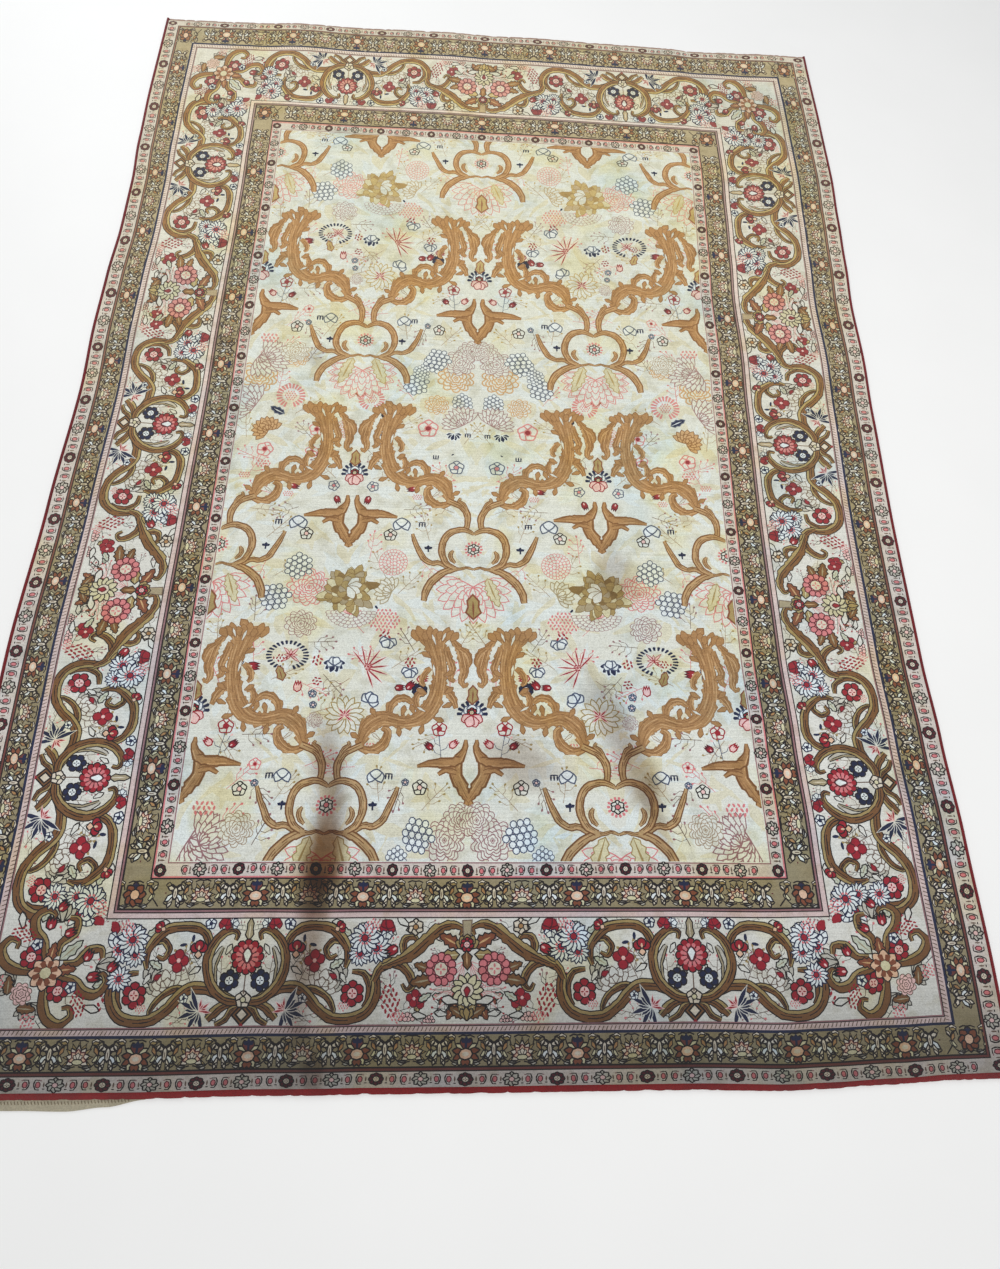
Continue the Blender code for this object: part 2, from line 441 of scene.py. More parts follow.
    def leaf(self, length: float, width: float, teeth: int, yarn: Yarn, line: Yarn, vein: Yarn) -> Motif:
        """Draw a toothed leaf that grows upwards, with a middle vein."""
        share = np.linspace(0.0, 1.0, 2 * teeth + 1)
        notch = np.where(np.arange(len(share)) % 2 == 1, 1.0, 0.62)
        half = 0.5 * width * np.sin(math.pi * share**0.8) ** 0.7 * notch
        left = np.stack([-half, length * (share + 0.03 * (notch - 0.6))], 1)
        outline = np.concatenate([left, (left * (-1.0, 1.0))[-2:0:-1]])
        made = Motif().edged(outline, yarn, line, 1.7)
        return made.add(petal(0.82 * length, 0.16 * width, 0.6), vein)

    def bean(self, width: float, height: float, yarn: Yarn, line: Yarn) -> Motif:
        """Draw a flower of four round petals about a pink heart."""
        made = Motif()
        for x, y in ((-0.42, 0.12), (0.46, 0.2), (0.02, 0.5), (0.06, -0.3)):
            made.edged(disc(0.3 * height, x * width, y * height), yarn, line, 1.4)
        return made.add(oval(0.34 * width, 0.3 * height, 0.02 * width, 0.12 * height, 6), Yarn.PINK)

    def trefoil(self, radius: float, yarn: Yarn, line: Yarn = Yarn.LINE) -> Motif:
        """Draw a flower of three round petals on a pale calyx."""
        made = Motif().edged(petal(0.9 * radius, 0.8 * radius) * (1.0, -1.0), Yarn.PEACH, line, 1.6)
        made.spread(3, 124.0, disc(0.5 * radius, 0.0, 0.6 * radius), yarn, line)
        return made.add(oval(0.3 * radius, 0.6 * radius, 0.0, 0.3 * radius, 6), Yarn.PEACH)

    def tulip(self, width: float, height: float, yarn: Yarn, line: Yarn = Yarn.LINE) -> Motif:
        """Draw a bud of three pointed petals in a cup."""
        cup = dots((0.0, 0.0), (0.42, 0.2), (0.5, 0.6), (0.36, 1.0), (0.16, 0.66), (0.0, 1.05),
                   (-0.16, 0.66), (-0.36, 1.0), (-0.5, 0.6), (-0.42, 0.2)) * (width, height)
        made = Motif().edged(cup, yarn, line, 1.8)
        return made.add(oval(0.3 * width, 0.42 * height, 0.0, 0.28 * height, 6), Yarn.PINK)

    def peony(self, radius: float) -> Motif:
        """Draw the large ruffled flower of many folded olive petals."""
        made = Motif()
        dice = np.random.default_rng(5)
        for reach, count in ((1.0, 19), (0.8, 16), (0.6, 12), (0.4, 8)):
            for index in range(count):
                angle = 360.0 * index / count + dice.uniform(-14.0, 14.0)
                length = radius * reach * dice.uniform(0.78, 1.16)
                tone = (Yarn.OLIVE, Yarn.KHAKI, Yarn.OLIVE, Yarn.STRAW, Yarn.OLIVE_DARK)[index % 5]
                made.edged(turned(petal(length, 0.34 * radius, 0.6), angle), tone, Yarn.OLIVE_DARK, 0.9)
        for turn in (30.0, 64.0, 100.0, 136.0):
            made.edged(turned(petal(0.5 * radius, 0.3 * radius), turn) + (0.02 * radius, 0.1 * radius),
                    Yarn.FIELD_IVORY,
                       Yarn.OLIVE_DARK, 1.0)
        return made

    def twig(self, length: float, bend: float, yarn: Yarn, bud: Yarn, branches: int = 5) -> Motif:
        """Draw a thin bending stem with side shoots that end in small buds."""
        path = smooth(dots((0, 0), (0.45 * bend, 0.5 * length), (bend, length)), 10.0)
        made = Motif().stroke(path, 1.7, yarn)
        for index in range(branches):
            at = path[round((0.2 + 0.75 * index / branches) * (len(path) - 1))]
            way = 1.0 if index % 2 else -1.0
            tip = at + (way * (20.0 - 2.0 * index), 17.0)
            made.stroke(dots(at, 0.5 * (at + tip) + (way * 4.0, -3.0), tip), 1.5, yarn)
            made.add(turned(petal(9.0, 6.5), -way * 50.0) + tip, bud)
        return made.add(petal(10.0, 7.0) + path[-1], bud)

    def ticks(self, count: int, pitch: float, yarn: Yarn) -> Motif:
        """Draw a row of short upright strokes under a thin bar."""
        half = 0.5 * pitch * count
        made = Motif().add(oval(2.0 * half, 4.0, 0.0, 11.0, 6), yarn)
        for index in range(count):
            made.add(oval(0.62 * pitch, 17.0, (index - 0.5 * (count - 1)) * pitch, 4.0, 6), yarn)
        return made

    def fleur(self, size: float, yarn: Yarn) -> Motif:
        """Draw a small three-armed mark on a stem."""
        made = Motif().add(dots((-0.1, 0.0), (0.1, 0.0), (0.12, 0.9), (-0.12, 0.9)) * size, yarn)
        for turn, length in ((62.0, 0.62), (-62.0, 0.62), (0.0, 0.6)):
            made.add(turned(petal(length * size, 0.42 * size), turn) + (0.0, 0.45 * size), yarn)
        return made


STOCK = Blossoms()


@dataclass(frozen=True)
class Limb:
    """A leafy limb of a scroll: a band whose width is given along its path."""

    teeth: float = 0.0
    pitch: float = 30.0
    seam: float = 9.0
    line_width: float = 2.2
    streaks: tuple[float, ...] = ()

    def draw(self, path: Points, core: Yarn, strip: Yarn, line: Yarn, edge: Yarn | None = None) -> Motif:
        """Draw the limb.

        Args:
            path: The few places of its middle, with its width at each.
            core: The yarn of its main part.
            strip: The yarn of its left part, or of its streaks.
            line: The yarn of its outline and of the line between the parts.
            edge: The yarn of a rim inside the outline, where it has one.

        Returns:
            The limb as a motif.
        """
        run = smooth(path, 6.0)
        middle, half = run[:, :2], np.maximum(0.5 * run[:, 2], 0.8)
        steps = np.linalg.norm(np.diff(middle, axis=0), axis=1)
        reach = np.concatenate([[0.0], np.cumsum(steps)]) / self.pitch
        drift = reach + 0.4 * np.sin(1.9 * reach + 0.01 * middle[:, 0])
        tooth = self.teeth * np.minimum(1.0, half / 16.0) * (0.75 + 0.5 * np.sin(1.3 * reach))
        left = half + tooth * (np.mod(drift, 1.0) ** 1.5 - 0.45)
        right = half + tooth * (np.mod(1.23 * drift + 0.5, 1.0) ** 1.5 - 0.45)
        made = Motif().add(band(middle, -right - self.line_width, left + self.line_width), line)
        if edge:
            made.add(band(middle, -right, left), edge)
            rim = np.minimum(5.0, 0.28 * half)
            left, right = left - rim, right - rim
        made.add(band(middle, -right, left), core)
        if self.seam < 1.0:
            seam = self.seam * half
            made.add(band(middle, seam, np.maximum(left, seam + 0.4)), strip)
            made.add(band(middle, seam - 1.0 * (half > 4.0), seam + 1.0 * (half > 4.0)), line)
        for number, offset in enumerate(self.streaks):
            tone = strip if number % 2 else line
            for start in range(2 + 3 * (number % 3), len(middle) - 6, 11):
                stop = min(start + 9, len(middle) - 1)
                at = offset * half[start:stop]
                made.add(band(middle[start:stop], at - 1.0, at + 1.0), tone)
        return made


class Cartoon:
    """All the patches of the design on the even rug, the lowest first."""

    def __init__(self) -> None:
        """Start an empty cartoon."""
        self.outlines: list[Points] = []
        self.yarns: list[Yarn] = []
        self.zones: list[Zone] = []

    def lay(self, motif: Motif, zone: Zone, place: Callable[[Points], Points]) -> None:
        """Lay a motif on the rug, kept inside one zone.

        Args:
            motif: The motif.
            zone: The zone outside which it isn't knotted.
            place: Turns the motif's points into places on the even rug.
        """
        for outline, yarn in motif.patches:
            self.outlines.append(uneven(place(outline)))
            self.yarns.append(yarn)
            self.zones.append(zone)

    def simplified(self, tolerance: float) -> None:
        """Drop the points that bend their outlines less than a tolerance."""
        for index, outline in enumerate(self.outlines):
            for start in (0, 1, 0):
                if len(outline) < 8:
                    break
                chord = np.roll(outline, -1, 0) - np.roll(outline, 1, 0)
                own = outline - np.roll(outline, 1, 0)
                bend = np.abs(chord[:, 0] * own[:, 1] - chord[:, 1] * own[:, 0])
                keep = bend > tolerance * np.maximum(np.linalg.norm(chord, axis=1), 1e-6)
                keep[start::2] = True
                outline = outline[keep]
            self.outlines[index] = outline


@dataclass(frozen=True)
class Stripe:
    """A plain frame round the field, from its outer line inwards."""

    out: float
    yarn: Yarn


STRIPES = (
    Stripe(495.0, Yarn.GUARD_IVORY), Stripe(453.0, Yarn.LINE), Stripe(450.0, Yarn.BRICK),
    Stripe(445.5, Yarn.LINE), Stripe(442.0, Yarn.MINOR_GROUND), Stripe(383.0, Yarn.NAVY),
    Stripe(376.0, Yarn.PINK_STRIPE), Stripe(362.5, Yarn.LINE), Stripe(360.0, Yarn.MAUVE),
    Stripe(356.5, Yarn.BORDER_IVORY), Stripe(127.5, Yarn.LINE), Stripe(124.5, Yarn.PINK_STRIPE),
    Stripe(113.5, Yarn.LINE), Stripe(110.5, Yarn.MAUVE), Stripe(106.5, Yarn.LINE),
    Stripe(102.0, Yarn.MINOR_GROUND), Stripe(40.5, Yarn.LINE), Stripe(37.0, Yarn.ROSE),
    Stripe(33.5, Yarn.GUARD_IVORY), Stripe(5.0, Yarn.MAUVE), Stripe(2.0, Yarn.FIELD_IVORY),
)


@dataclass(frozen=True)
class GuardBorder:
    """A narrow ivory border of small rosettes in turn, with buds between."""

    zone: Zone
    out: float
    width: float
    pitch: float
    radius: float

    def draw(self, cartoon: Cartoon) -> None:
        """Lay the border on all four sides of the rug."""
        kinds = (self.unit(Yarn.MAROON, Yarn.MINOR_PALE), self.unit(Yarn.STONE, Yarn.PINK))
        for side in Side:
            reach = (FIELD_HALF_WIDTH if side.is_end else FIELD_HALF_LENGTH) + self.out - 0.5 * self.width
            count = 2 * round(reach / self.pitch)
            for index in range(1 if side.is_end else 0, count if side.is_end else count + 1):
                shift = (2.0 * reach * index / count - reach, 0.5 * self.width)
                cartoon.lay(kinds[index % 2], self.zone, lambda p, s=side,
                        at=shift: s.place(p + at, self.out))

    def unit(self, petals: Yarn, heart: Yarn) -> Motif:
        """Draw one rosette with the buds and dashes on both of its sides."""
        if petals is Yarn.MAROON:
            made = STOCK.rosette(self.radius, 8, petals, heart)
        else:
            made = STOCK.daisy(self.radius + 2.0, 8, petals, Yarn.LINE, heart, 0.3)
        side, reach, at = Motif(), 0.34 * self.width, 0.4 * self.pitch
        side.add(oval(4.0, 15.0, 0.24 * self.pitch, 0.5, 6), Yarn.SOFT_LINE)
        side.add(oval(7.0, 3.4, 0.24 * self.pitch, -0.8 * reach, 6), Yarn.LINE)
        side.add(oval(6.0, 3.4, 0.31 * self.pitch, 0.9 * reach, 6), Yarn.MAUVE)
        hook = dots((at - 7.0, reach), (at + 3.0, reach), (at + 6.0, 0.0), (at + 1.0, -reach),
                (at - 7.0, -reach))
        side.stroke(hook, 2.9, Yarn.LINE, 5.0)
        side.edged(oval(8.0, 1.1 * reach, at - 3.0, 0.0, 7), Yarn.ROSE, Yarn.MAROON, 1.3)
        return made.join(side.mirrored())


@dataclass(frozen=True)
class TwistStripe:
    """The pale stripe of slanting dashes, like a twisted cord."""

    out: float = 369.0
    pitch: float = 9.5

    def draw(self, cartoon: Cartoon) -> None:
        """Lay the dashes on all four sides of the rug."""
        dash = Motif().add(dots((-3.4, -5.4), (-1.0, -5.4), (3.4, 5.4), (1.0, 5.4)), Yarn.SOFT_LINE)
        for side in Side:
            reach = (FIELD_HALF_WIDTH if side.is_end else FIELD_HALF_LENGTH) + self.out
            for along in np.arange(-reach, reach, self.pitch):
                cartoon.lay(dash, Zone.OUTER_CORD, lambda p, s=side,
                        a=along: s.place(p + (a, 0.0), self.out))


@dataclass(frozen=True)
class MinorBorder:
    """A khaki border of rust flowers and lotuses between pale sprouts."""

    zone: Zone
    out: float
    width: float
    pitch: float

    def draw(self, cartoon: Cartoon) -> None:
        """Lay the border on all four sides, and a block at each corner."""
        units = (self.rust_flower(), self.lotus())
        for side in Side:
            reach = (FIELD_HALF_WIDTH if side.is_end else FIELD_HALF_LENGTH) + self.out - self.width
            count = 2 * round(reach / self.pitch)
            for index in range(count):
                middle = (index + 0.5) * 2.0 * reach / count - reach
                self.lay(cartoon, side, self.sprout(), middle)
                if index:
                    along = index * 2.0 * reach / count - reach
                    self.lay(cartoon, side, units[(index + count // 2) % 2], along)
            for end in (-1.0, 1.0):
                if side.is_end:
                    self.lay(cartoon, side, self.corner(), end * (reach + 0.5 * self.width))

    def lay(self, cartoon: Cartoon, side: Side, motif: Motif, along: float) -> None:
        """Lay one motif, drawn from the border's outer line, at a place."""
        cartoon.lay(motif, self.zone, lambda p: side.place(p * self.width + (along, 0.0), self.out))

    def rust_flower(self) -> Motif:
        """Draw the rust flower with a cream heart under a navy mark."""
        side = Motif()
        self.vine(side)
        for turn, length, x, y, yarn in (
            (-58, 0.4, 0.02, 0.46, Yarn.STRAW), (-84, 0.42, 0.06, 0.44, Yarn.RUST),
            (-112, 0.4, 0.08, 0.36, Yarn.RUST),
            (-20, 0.3, 0.06, 0.56, Yarn.BRICK), (-150, 0.26, 0.12, 0.26, Yarn.STRAW),
            (-168, 0.24, 0.04, 0.24, Yarn.RUST),
        ):
            side.edged(turned(petal(length, 0.17), turn) + (x, y), yarn, Yarn.LINE, 0.026)
        made = side.mirrored()
        made.edged(oval(0.46, 0.32, 0.0, 0.36), Yarn.PEACH, Yarn.LINE, 0.03)
        made.add(oval(0.26, 0.16, 0.0, 0.36, 7), Yarn.MINOR_PALE)
        return made.join(STOCK.fleur(0.36, Yarn.NAVY), 0.0, 0.56)

    def vine(self, side: Motif) -> None:
        """Lay the dark curling vine and its leaves beside a flower."""
        for turn, length, wide, x, y, yarn in (
            (-50, 0.26, 0.13, 0.56, 0.3, Yarn.STRAW), (34, 0.26, 0.12, 0.7, 0.5, Yarn.OCHRE),
            (-80, 0.24, 0.12, 0.44, 0.9, Yarn.MINOR_PALE),
            (-96, 0.26, 0.11, 0.24, 0.1, Yarn.STONE), (-30, 0.2, 0.1, 0.72, 0.62, Yarn.MINOR_PALE),
            (96, 0.2, 0.1, 0.66, 0.86, Yarn.OLIVE),
        ):
            side.edged(turned(petal(length, wide), turn) + (x, y), yarn, Yarn.LINE, 0.022)
        for path in (
            dots((0.06, 0.13), (0.34, 0.08), (0.6, 0.2), (0.72, 0.48), (0.62, 0.76), (0.44, 0.8),
                (0.4, 0.66)),
            dots((0.7, 0.34), (0.84, 0.2), (0.96, 0.06)),
            dots((0.7, 0.6), (0.84, 0.74), (0.84, 0.9), (0.72, 0.94)),
            dots((0.3, 0.9), (0.14, 0.96), (0.0, 0.94)),
        ):
            side.stroke(path, 0.05, Yarn.LINE, 0.1)

    def lotus(self) -> Motif:
        """Draw the pale lotus with flames over it."""
        made = Motif().spread(9, 220.0, petal(0.5, 0.13, 1.1), Yarn.OLIVE, Yarn.LINE, 0.02)
        made.spread(7, 230.0, petal(0.4, 0.17), Yarn.MINOR_PALE, Yarn.LINE, 0.022)
        made.spread(5, 200.0, petal(0.29, 0.15), Yarn.PEACH, Yarn.MAROON, 0.02)
        made.spread(3, 110.0, petal(0.18, 0.13), Yarn.MINOR_PALE, Yarn.LINE, 0.018)
        around = Motif()
        self.vine(around)
        lifted = around.mirrored().join(made, 0.0, 0.36)
        return lifted.edged(oval(0.36, 0.14, 0.0, 0.26), Yarn.STRAW, Yarn.LINE, 0.02)

    def sprout(self) -> Motif:
        """Draw the pale sprout that stands between two flowers."""
        side = Motif()
        for turn, length, wide, x, y, yarn in (
            (-30, 0.34, 0.15, 0.0, 0.5, Yarn.COOL_WHITE), (-75, 0.22, 0.12, 0.06, 0.66, Yarn.MINOR_PALE),
            (-130, 0.38, 0.15, 0.02, 0.5, Yarn.COOL_WHITE), (-160, 0.3, 0.12, 0.1, 0.34, Yarn.MINOR_PALE),
        ):
            side.edged(turned(petal(length, wide), turn) + (x, y), yarn, Yarn.LINE, 0.028)
        side.stroke(dots((0.12, 0.76), (0.26, 0.9), (0.38, 0.8), (0.3, 0.7)), 0.042, Yarn.LINE, 0.08)
        side.stroke(dots((0.1, 0.24), (0.26, 0.12), (0.4, 0.2), (0.32, 0.3)), 0.042, Yarn.LINE, 0.08)
        side.add(oval(0.09, 0.05, 0.36, 0.52, 6), Yarn.MAROON)
        made = side.mirrored()
        made.edged(oval(0.13, 0.36, 0.0, 0.52), Yarn.MINOR_PALE, Yarn.LINE, 0.03)
        return made.add(oval(0.05, 0.24, 0.0, 0.5, 5), Yarn.SOFT_LINE)

    def corner(self) -> Motif:
        """Draw the flower that fills the border's corner."""
        flower = STOCK.daisy(20.0, 8, Yarn.RUST, Yarn.LINE, Yarn.PEACH, 0.4)
        side = Motif()
        self.vine(side)
        return side.mirrored().join(flower, 0.0, 0.5, 0.0, 0.02).join(STOCK.fleur(0.2, Yarn.NAVY), 0.0, 0.7)


@dataclass(frozen=True)
class Spot:
    """Where one flower goes, how it turns and how large it is."""

    name: str
    x: float
    y: float
    turn: float = 0.0
    size: float = 1.0
    flip: bool = False


def set_out(stock: dict[str, Motif], rows: Iterable[tuple]) -> Motif:
    """Lay flowers of a stock by a table whose rows are those of a Spot."""
    made = Motif()
    for spot in (Spot(*row) for row in rows):
        made.join(stock[spot.name], spot.x, spot.y, spot.turn, spot.size, spot.flip)
    return made


def border_stock() -> dict[str, Motif]:
    """Return the small flowers and leaves of the main border, by name."""
    s, line = STOCK, Yarn.LINE
    return {
        "trefoil": s.trefoil(18.0, Yarn.RED), "bean": s.bean(28.0, 34.0, Yarn.RED, Yarn.MAROON),
        "navy leaf": Motif().add(oval(8.0, 18.0), Yarn.NAVY),
        "carnation": s.spiky(50.0, 9, 190.0, Yarn.NAVY, Yarn.BORDER_IVORY),
        "red heart": s.spiky(24.0, 5, 120.0, Yarn.RED, Yarn.PINK),
        "rosette": s.rosette(27.0, 6, Yarn.RED, Yarn.PINK), "bud": s.tulip(20.0, 24.0, Yarn.RED),
        "big rosette": s.rosette(36.0, 11, Yarn.ROSE, Yarn.MINOR_PALE, Yarn.MAROON),
        "chrysanthemum": s.daisy(34.0, 14, Yarn.COOL_WHITE, Yarn.NAVY, Yarn.RED,
            0.2).join(s.rays(10.0, 16.0, 8, 360.0, Yarn.ROSE)),
        "cup": s.fan(18.0, 4, 190.0, Yarn.RED, Yarn.MAROON),
        "white cup": s.fan(15.0, 4, 150.0, Yarn.COOL_WHITE, Yarn.NAVY),
        "coral": s.beads(44.0, 80.0, 8.5, Yarn.RED), "pink coral": s.beads(36.0, 30.0, 6.0, Yarn.ROSE),
        "half flower": s.scales(18.0, 2, 180.0, Yarn.PINK, line),
        "pale flower": s.daisy(18.0, 6, Yarn.MINOR_PALE, line, Yarn.OCHRE),
        "white flower": s.daisy(12.0, 5, Yarn.COOL_WHITE, Yarn.NAVY, Yarn.NAVY, 0.2),
        "pale leaf": s.leaf(32.0, 16.0, 3, Yarn.SAGE, line, Yarn.KHAKI),
        "brown leaf": s.leaf(50.0, 28.0, 4, Yarn.BROWN, line, Yarn.KHAKI),
        "rust leaf": s.leaf(56.0, 30.0, 4, Yarn.RUST, line, Yarn.OCHRE_LIGHT),
        "drop": Motif().edged(petal(18.0, 12.0), Yarn.RED, Yarn.MAROON, 1.4),
        "olive leaf": s.leaf(46.0, 22.0, 3, Yarn.OLIVE, line, Yarn.STRAW),
        "flame": s.spiky(66.0, 5, 60.0, Yarn.BORDER_IVORY, Yarn.ROSE),
        "lined leaf": Motif().edged(petal(34.0, 15.0), Yarn.BORDER_IVORY, line, 1.8),
        "pink twig": s.twig(52.0, 14.0, Yarn.SOFT_LINE, Yarn.ROSE, 4),
        "green twig": s.twig(60.0, -16.0, Yarn.SOFT_LINE, Yarn.OLIVE, 5),
        "red twig": s.twig(40.0, 10.0, Yarn.LINE, Yarn.RED, 3),
        "dark twig": s.twig(44.0, 12.0, Yarn.LINE, Yarn.MAUVE, 4),
        "wheel": s.daisy(36.0, 12, Yarn.STRAW, line, Yarn.MINOR_PALE, 0.4),
        "lily": s.fans(44.0, 2, 170.0, Yarn.BORDER_IVORY, Yarn.SOFT_LINE, 2),
        "acanthus": s.fan(40.0, 6, 120.0, Yarn.STONE, line, 0.8),
        "navy floret": s.rosette(22.0, 6, Yarn.NAVY, Yarn.COOL_WHITE),
    }


@dataclass(frozen=True)
class MainBorder:
    """The broad border of brown scrolls, palmettes and vases.

    It is drawn as one half repeat, from a palmette's axis at 0 to the vase's
    axis, and then laid in turn both ways along each side.
    """

    out: float = 357.0
    width: float = 230.0
    half_repeat: float = 517.0
    corner_start: float = 330.0
    side_palmette_shift: float = 26.0
    limbs: tuple[Points, ...] = (
        dots((246, 114, 8), (272, 110, 14), (288, 86, 15), (288, 56, 13), (276, 36, 7)),
        dots((132, 76, 12), (160, 78, 15), (186, 66, 14), (204, 46, 12), (210, 28, 9), (198, 24, 6)),
        dots((10, 44, 16), (44, 60, 24), (84, 78, 26), (122, 80, 27), (150, 62, 27), (174, 36, 25),
            (206, 16, 25),
             (244, 12, 26), (276, 22, 26), (297, 46, 25), (304, 78, 23), (298, 108, 16)),
        dots((296, 92, 14), (308, 118, 22), (334, 132, 24), (362, 126, 22), (382, 106, 20), (388, 82, 15),
             (374, 72, 9), (364, 86, 5)),
        dots((386, 146, 12), (364, 158, 18), (366, 184, 17), (388, 190, 12), (400, 176, 6)),
        dots((316, 122, 12), (354, 138, 24), (390, 158, 34), (420, 184, 30), (452, 210, 24), (484, 218, 18),
             (506, 208, 12), (500, 192, 6)),
        dots((226, 176, 10), (200, 182, 14), (184, 162, 13), (194, 142, 10), (210, 150, 5)),
        dots((86, 150, 14), (96, 188, 20), (124, 210, 22), (160, 213, 22), (196, 206, 23), (220, 184, 22),
             (236, 154, 17), (230, 122, 8)),
        dots((14, 40, 8), (36, 44, 20), (58, 34, 24), (78, 14, 14)),
        dots((8, 40, 8), (26, 32, 14), (38, 14, 14), (60, 4, 8)),
        dots((58, 66, 6), (72, 92, 16), (76, 124, 18), (66, 154, 14), (58, 166, 5)),
        dots((6, 50, 16), (44, 56, 23), (76, 84, 24), (91, 124, 23), (86, 162, 22), (66, 190, 20),
            (42, 202, 15),
             (26, 194, 10), (30, 180, 6)),
    )

    def half(self) -> Motif:
        """Draw the scrolls and flowers of one half repeat, palmette first."""
        behind = (
            ("green twig", 120, 80, -40, 1.1), ("green twig", 150, 96, -10, 1.1),
            ("acanthus", 214, 86, 30, 1.0),
            ("acanthus", 196, 70, -10, 0.8), ("pale leaf", 196, 122, -60, 1.0),
            ("pale leaf", 238, 196, 70, 1.0),
            ("lined leaf", 246, 206, -70, 0.9), ("pale leaf", 372, 206, -80, 1.1),
            ("lined leaf", 376, 216, 60, 0.9),
            ("pale leaf", 436, 60, -100, 0.9), ("olive leaf", 404, 26, 20, 0.8),
            ("lined leaf", 446, 24, -60, 0.9),
            ("pink twig", 56, 96, 10, 0.8), ("pink twig", 322, 150, -10, 0.7),
            ("red twig", 346, 24, -60, 0.8),
            ("pink twig", 330, 96, 90, 0.7), ("lily", 178, 84, -30, 0.8), ("red twig", 14, 214, -80, 0.7),
            ("pink twig", 118, 12, -60, 0.9), ("pink twig", 160, 4, 70, 0.7),
            ("green twig", 400, 100, -90, 0.7),
            ("acanthus", 250, 150, 60, 0.5), ("pink twig", 70, 186, -100, 0.5),
            ("lined leaf", 130, 110, 60, 0.8),
            ("dark twig", 340, 60, 20, 0.9), ("dark twig", 330, 40, 60, 0.8),
            ("dark twig", 440, 90, -70, 0.9), ("dark twig", 452, 60, -110, 0.8),
            ("dark twig", 372, 20, -80, 0.9), ("dark twig", 470, 150, 100, 0.7),
            ("lined leaf", 470, 190, 100, 0.8), ("lined leaf", 470, 20, 80, 0.8),
            ("dark twig", 280, 200, -60, 0.8), ("dark twig", 340, 206, 70, 0.7),
            ("lined leaf", 300, 206, -100, 0.8), ("lined leaf", 344, 196, 30, 0.7),
            ("dark twig", 412, 214, -100, 0.8), ("dark twig", 130, 14, 80, 0.7),
            ("lined leaf", 60, 14, -60, 0.7), ("dark twig", 180, 12, -60, 0.8),
            ("dark twig", 106, 120, -20, 0.8), ("dark twig", 170, 110, 40, 0.7),
            ("dark twig", 214, 130, 20, 0.7), ("lined leaf", 232, 90, 30, 0.7),
            ("dark twig", 6, 200, -60, 0.6), ("lined leaf", 14, 104, -50, 0.8),
            ("dark twig", 30, 112, 10, 0.7), ("lined leaf", 50, 150, 30, 0.7),
            ("lined leaf", 64, 206, 60, 0.7), ("dark twig", 170, 226, 60, 0.7),
            ("lined leaf", 216, 222, 90, 0.7), ("dark twig", 402, 120, 100, 0.6),
        )
        front = (
            ("trefoil", 114, 160), ("bean", 158, 134), ("navy leaf", 130, 186), ("navy leaf", 152, 172, 80),
            ("carnation", 100, 34, -110), ("red heart", 96, 32, 50), ("cup", 60, 214, 10, 0.8),
            ("white cup", 40, 216, 60, 0.8),
            ("white flower", 94, 217), ("rosette", 250, 66), ("chrysanthemum", 300, 164, 0, 0.95),
            ("chrysanthemum", 262, 152, 10, 0.75), ("chrysanthemum", 272, 186), ("cup", 324, 210),
            ("white cup", 324, 198, 180, 0.9),
            ("bud", 348, 166, 120), ("pink coral", 288, 214), ("coral", 336, 50, 10),
            ("bean", 404, 54, 200, 0.8),
            ("half flower", 378, 6), ("pale flower", 392, 212), ("trefoil", 210, 210, -60, 0.7),
            ("pink coral", 356, 16, 0, 0.9),
            ("drop", 196, 108, -120, 0.9), ("pink coral", 232, 40, 0, 0.7),
            ("white flower", 136, 58, 0, 0.8), ("half flower", 430, 4, 0, 0.8),
        )
        stock = border_stock()
        made = set_out(stock, behind)
        style = Limb(3.0, 34.0, 0.3, 2.6, (-0.3,))
        leafy = Limb(8.0, 26.0, 0.3, 2.6, (-0.3,))
        for path in self.limbs:
            limb = leafy if path[:, 2].max() > 28.0 or path[0, 0] in (14.0, 58.0) else style
            core, strip = (Yarn.STONE, Yarn.KHAKI) if path[0, 0] == 58.0 else (Yarn.BROWN, Yarn.OLIVE)
            made.join(limb.draw(path * (1.0, 1.0, 0.84), core, strip, Yarn.LINE))
        return made.join(set_out(stock, front))

    def palmette(self) -> Motif:
        """Draw what stands on the palmette's axis."""
        s = STOCK
        made = Motif().join(s.leaf(48.0, 18.0, 2, Yarn.KHAKI, Yarn.LINE, Yarn.MINOR_PALE), 0.0, 180.0)
        for reach, yarn in ((21.0, Yarn.BROWN), (11.0, Yarn.MINOR_PALE)):
            made.edged(dots((0, -reach), (reach, 0), (0, reach), (-reach, 0)) + (0.0, 23.0), yarn,
                    Yarn.LINE)
        made.join(s.daisy(17.0, 5, Yarn.MINOR_PALE, Yarn.LINE, Yarn.STRAW), 0.0, 54.0)
        made.stroke(dots((0, 66), (0, 104)), 3.0, Yarn.SOFT_LINE)
        made.join(Motif().join(border_stock()["navy floret"], 36.0, 94.0).mirrored())
        made.join(s.rosette(37.0, 12, Yarn.RED, Yarn.MAROON), 0.0, 144.0)
        made.ring_of(12, petal(5.0, 4.0), Yarn.RED)
        made.join(s.rays(12.0, 28.0, 12, 360.0, Yarn.ROSE), 0.0, 144.0)
        drop = Motif().edged(petal(27.0, 17.0), Yarn.COOL_WHITE, Yarn.MAROON)
        return made.join(drop, 0.0, 134.0)

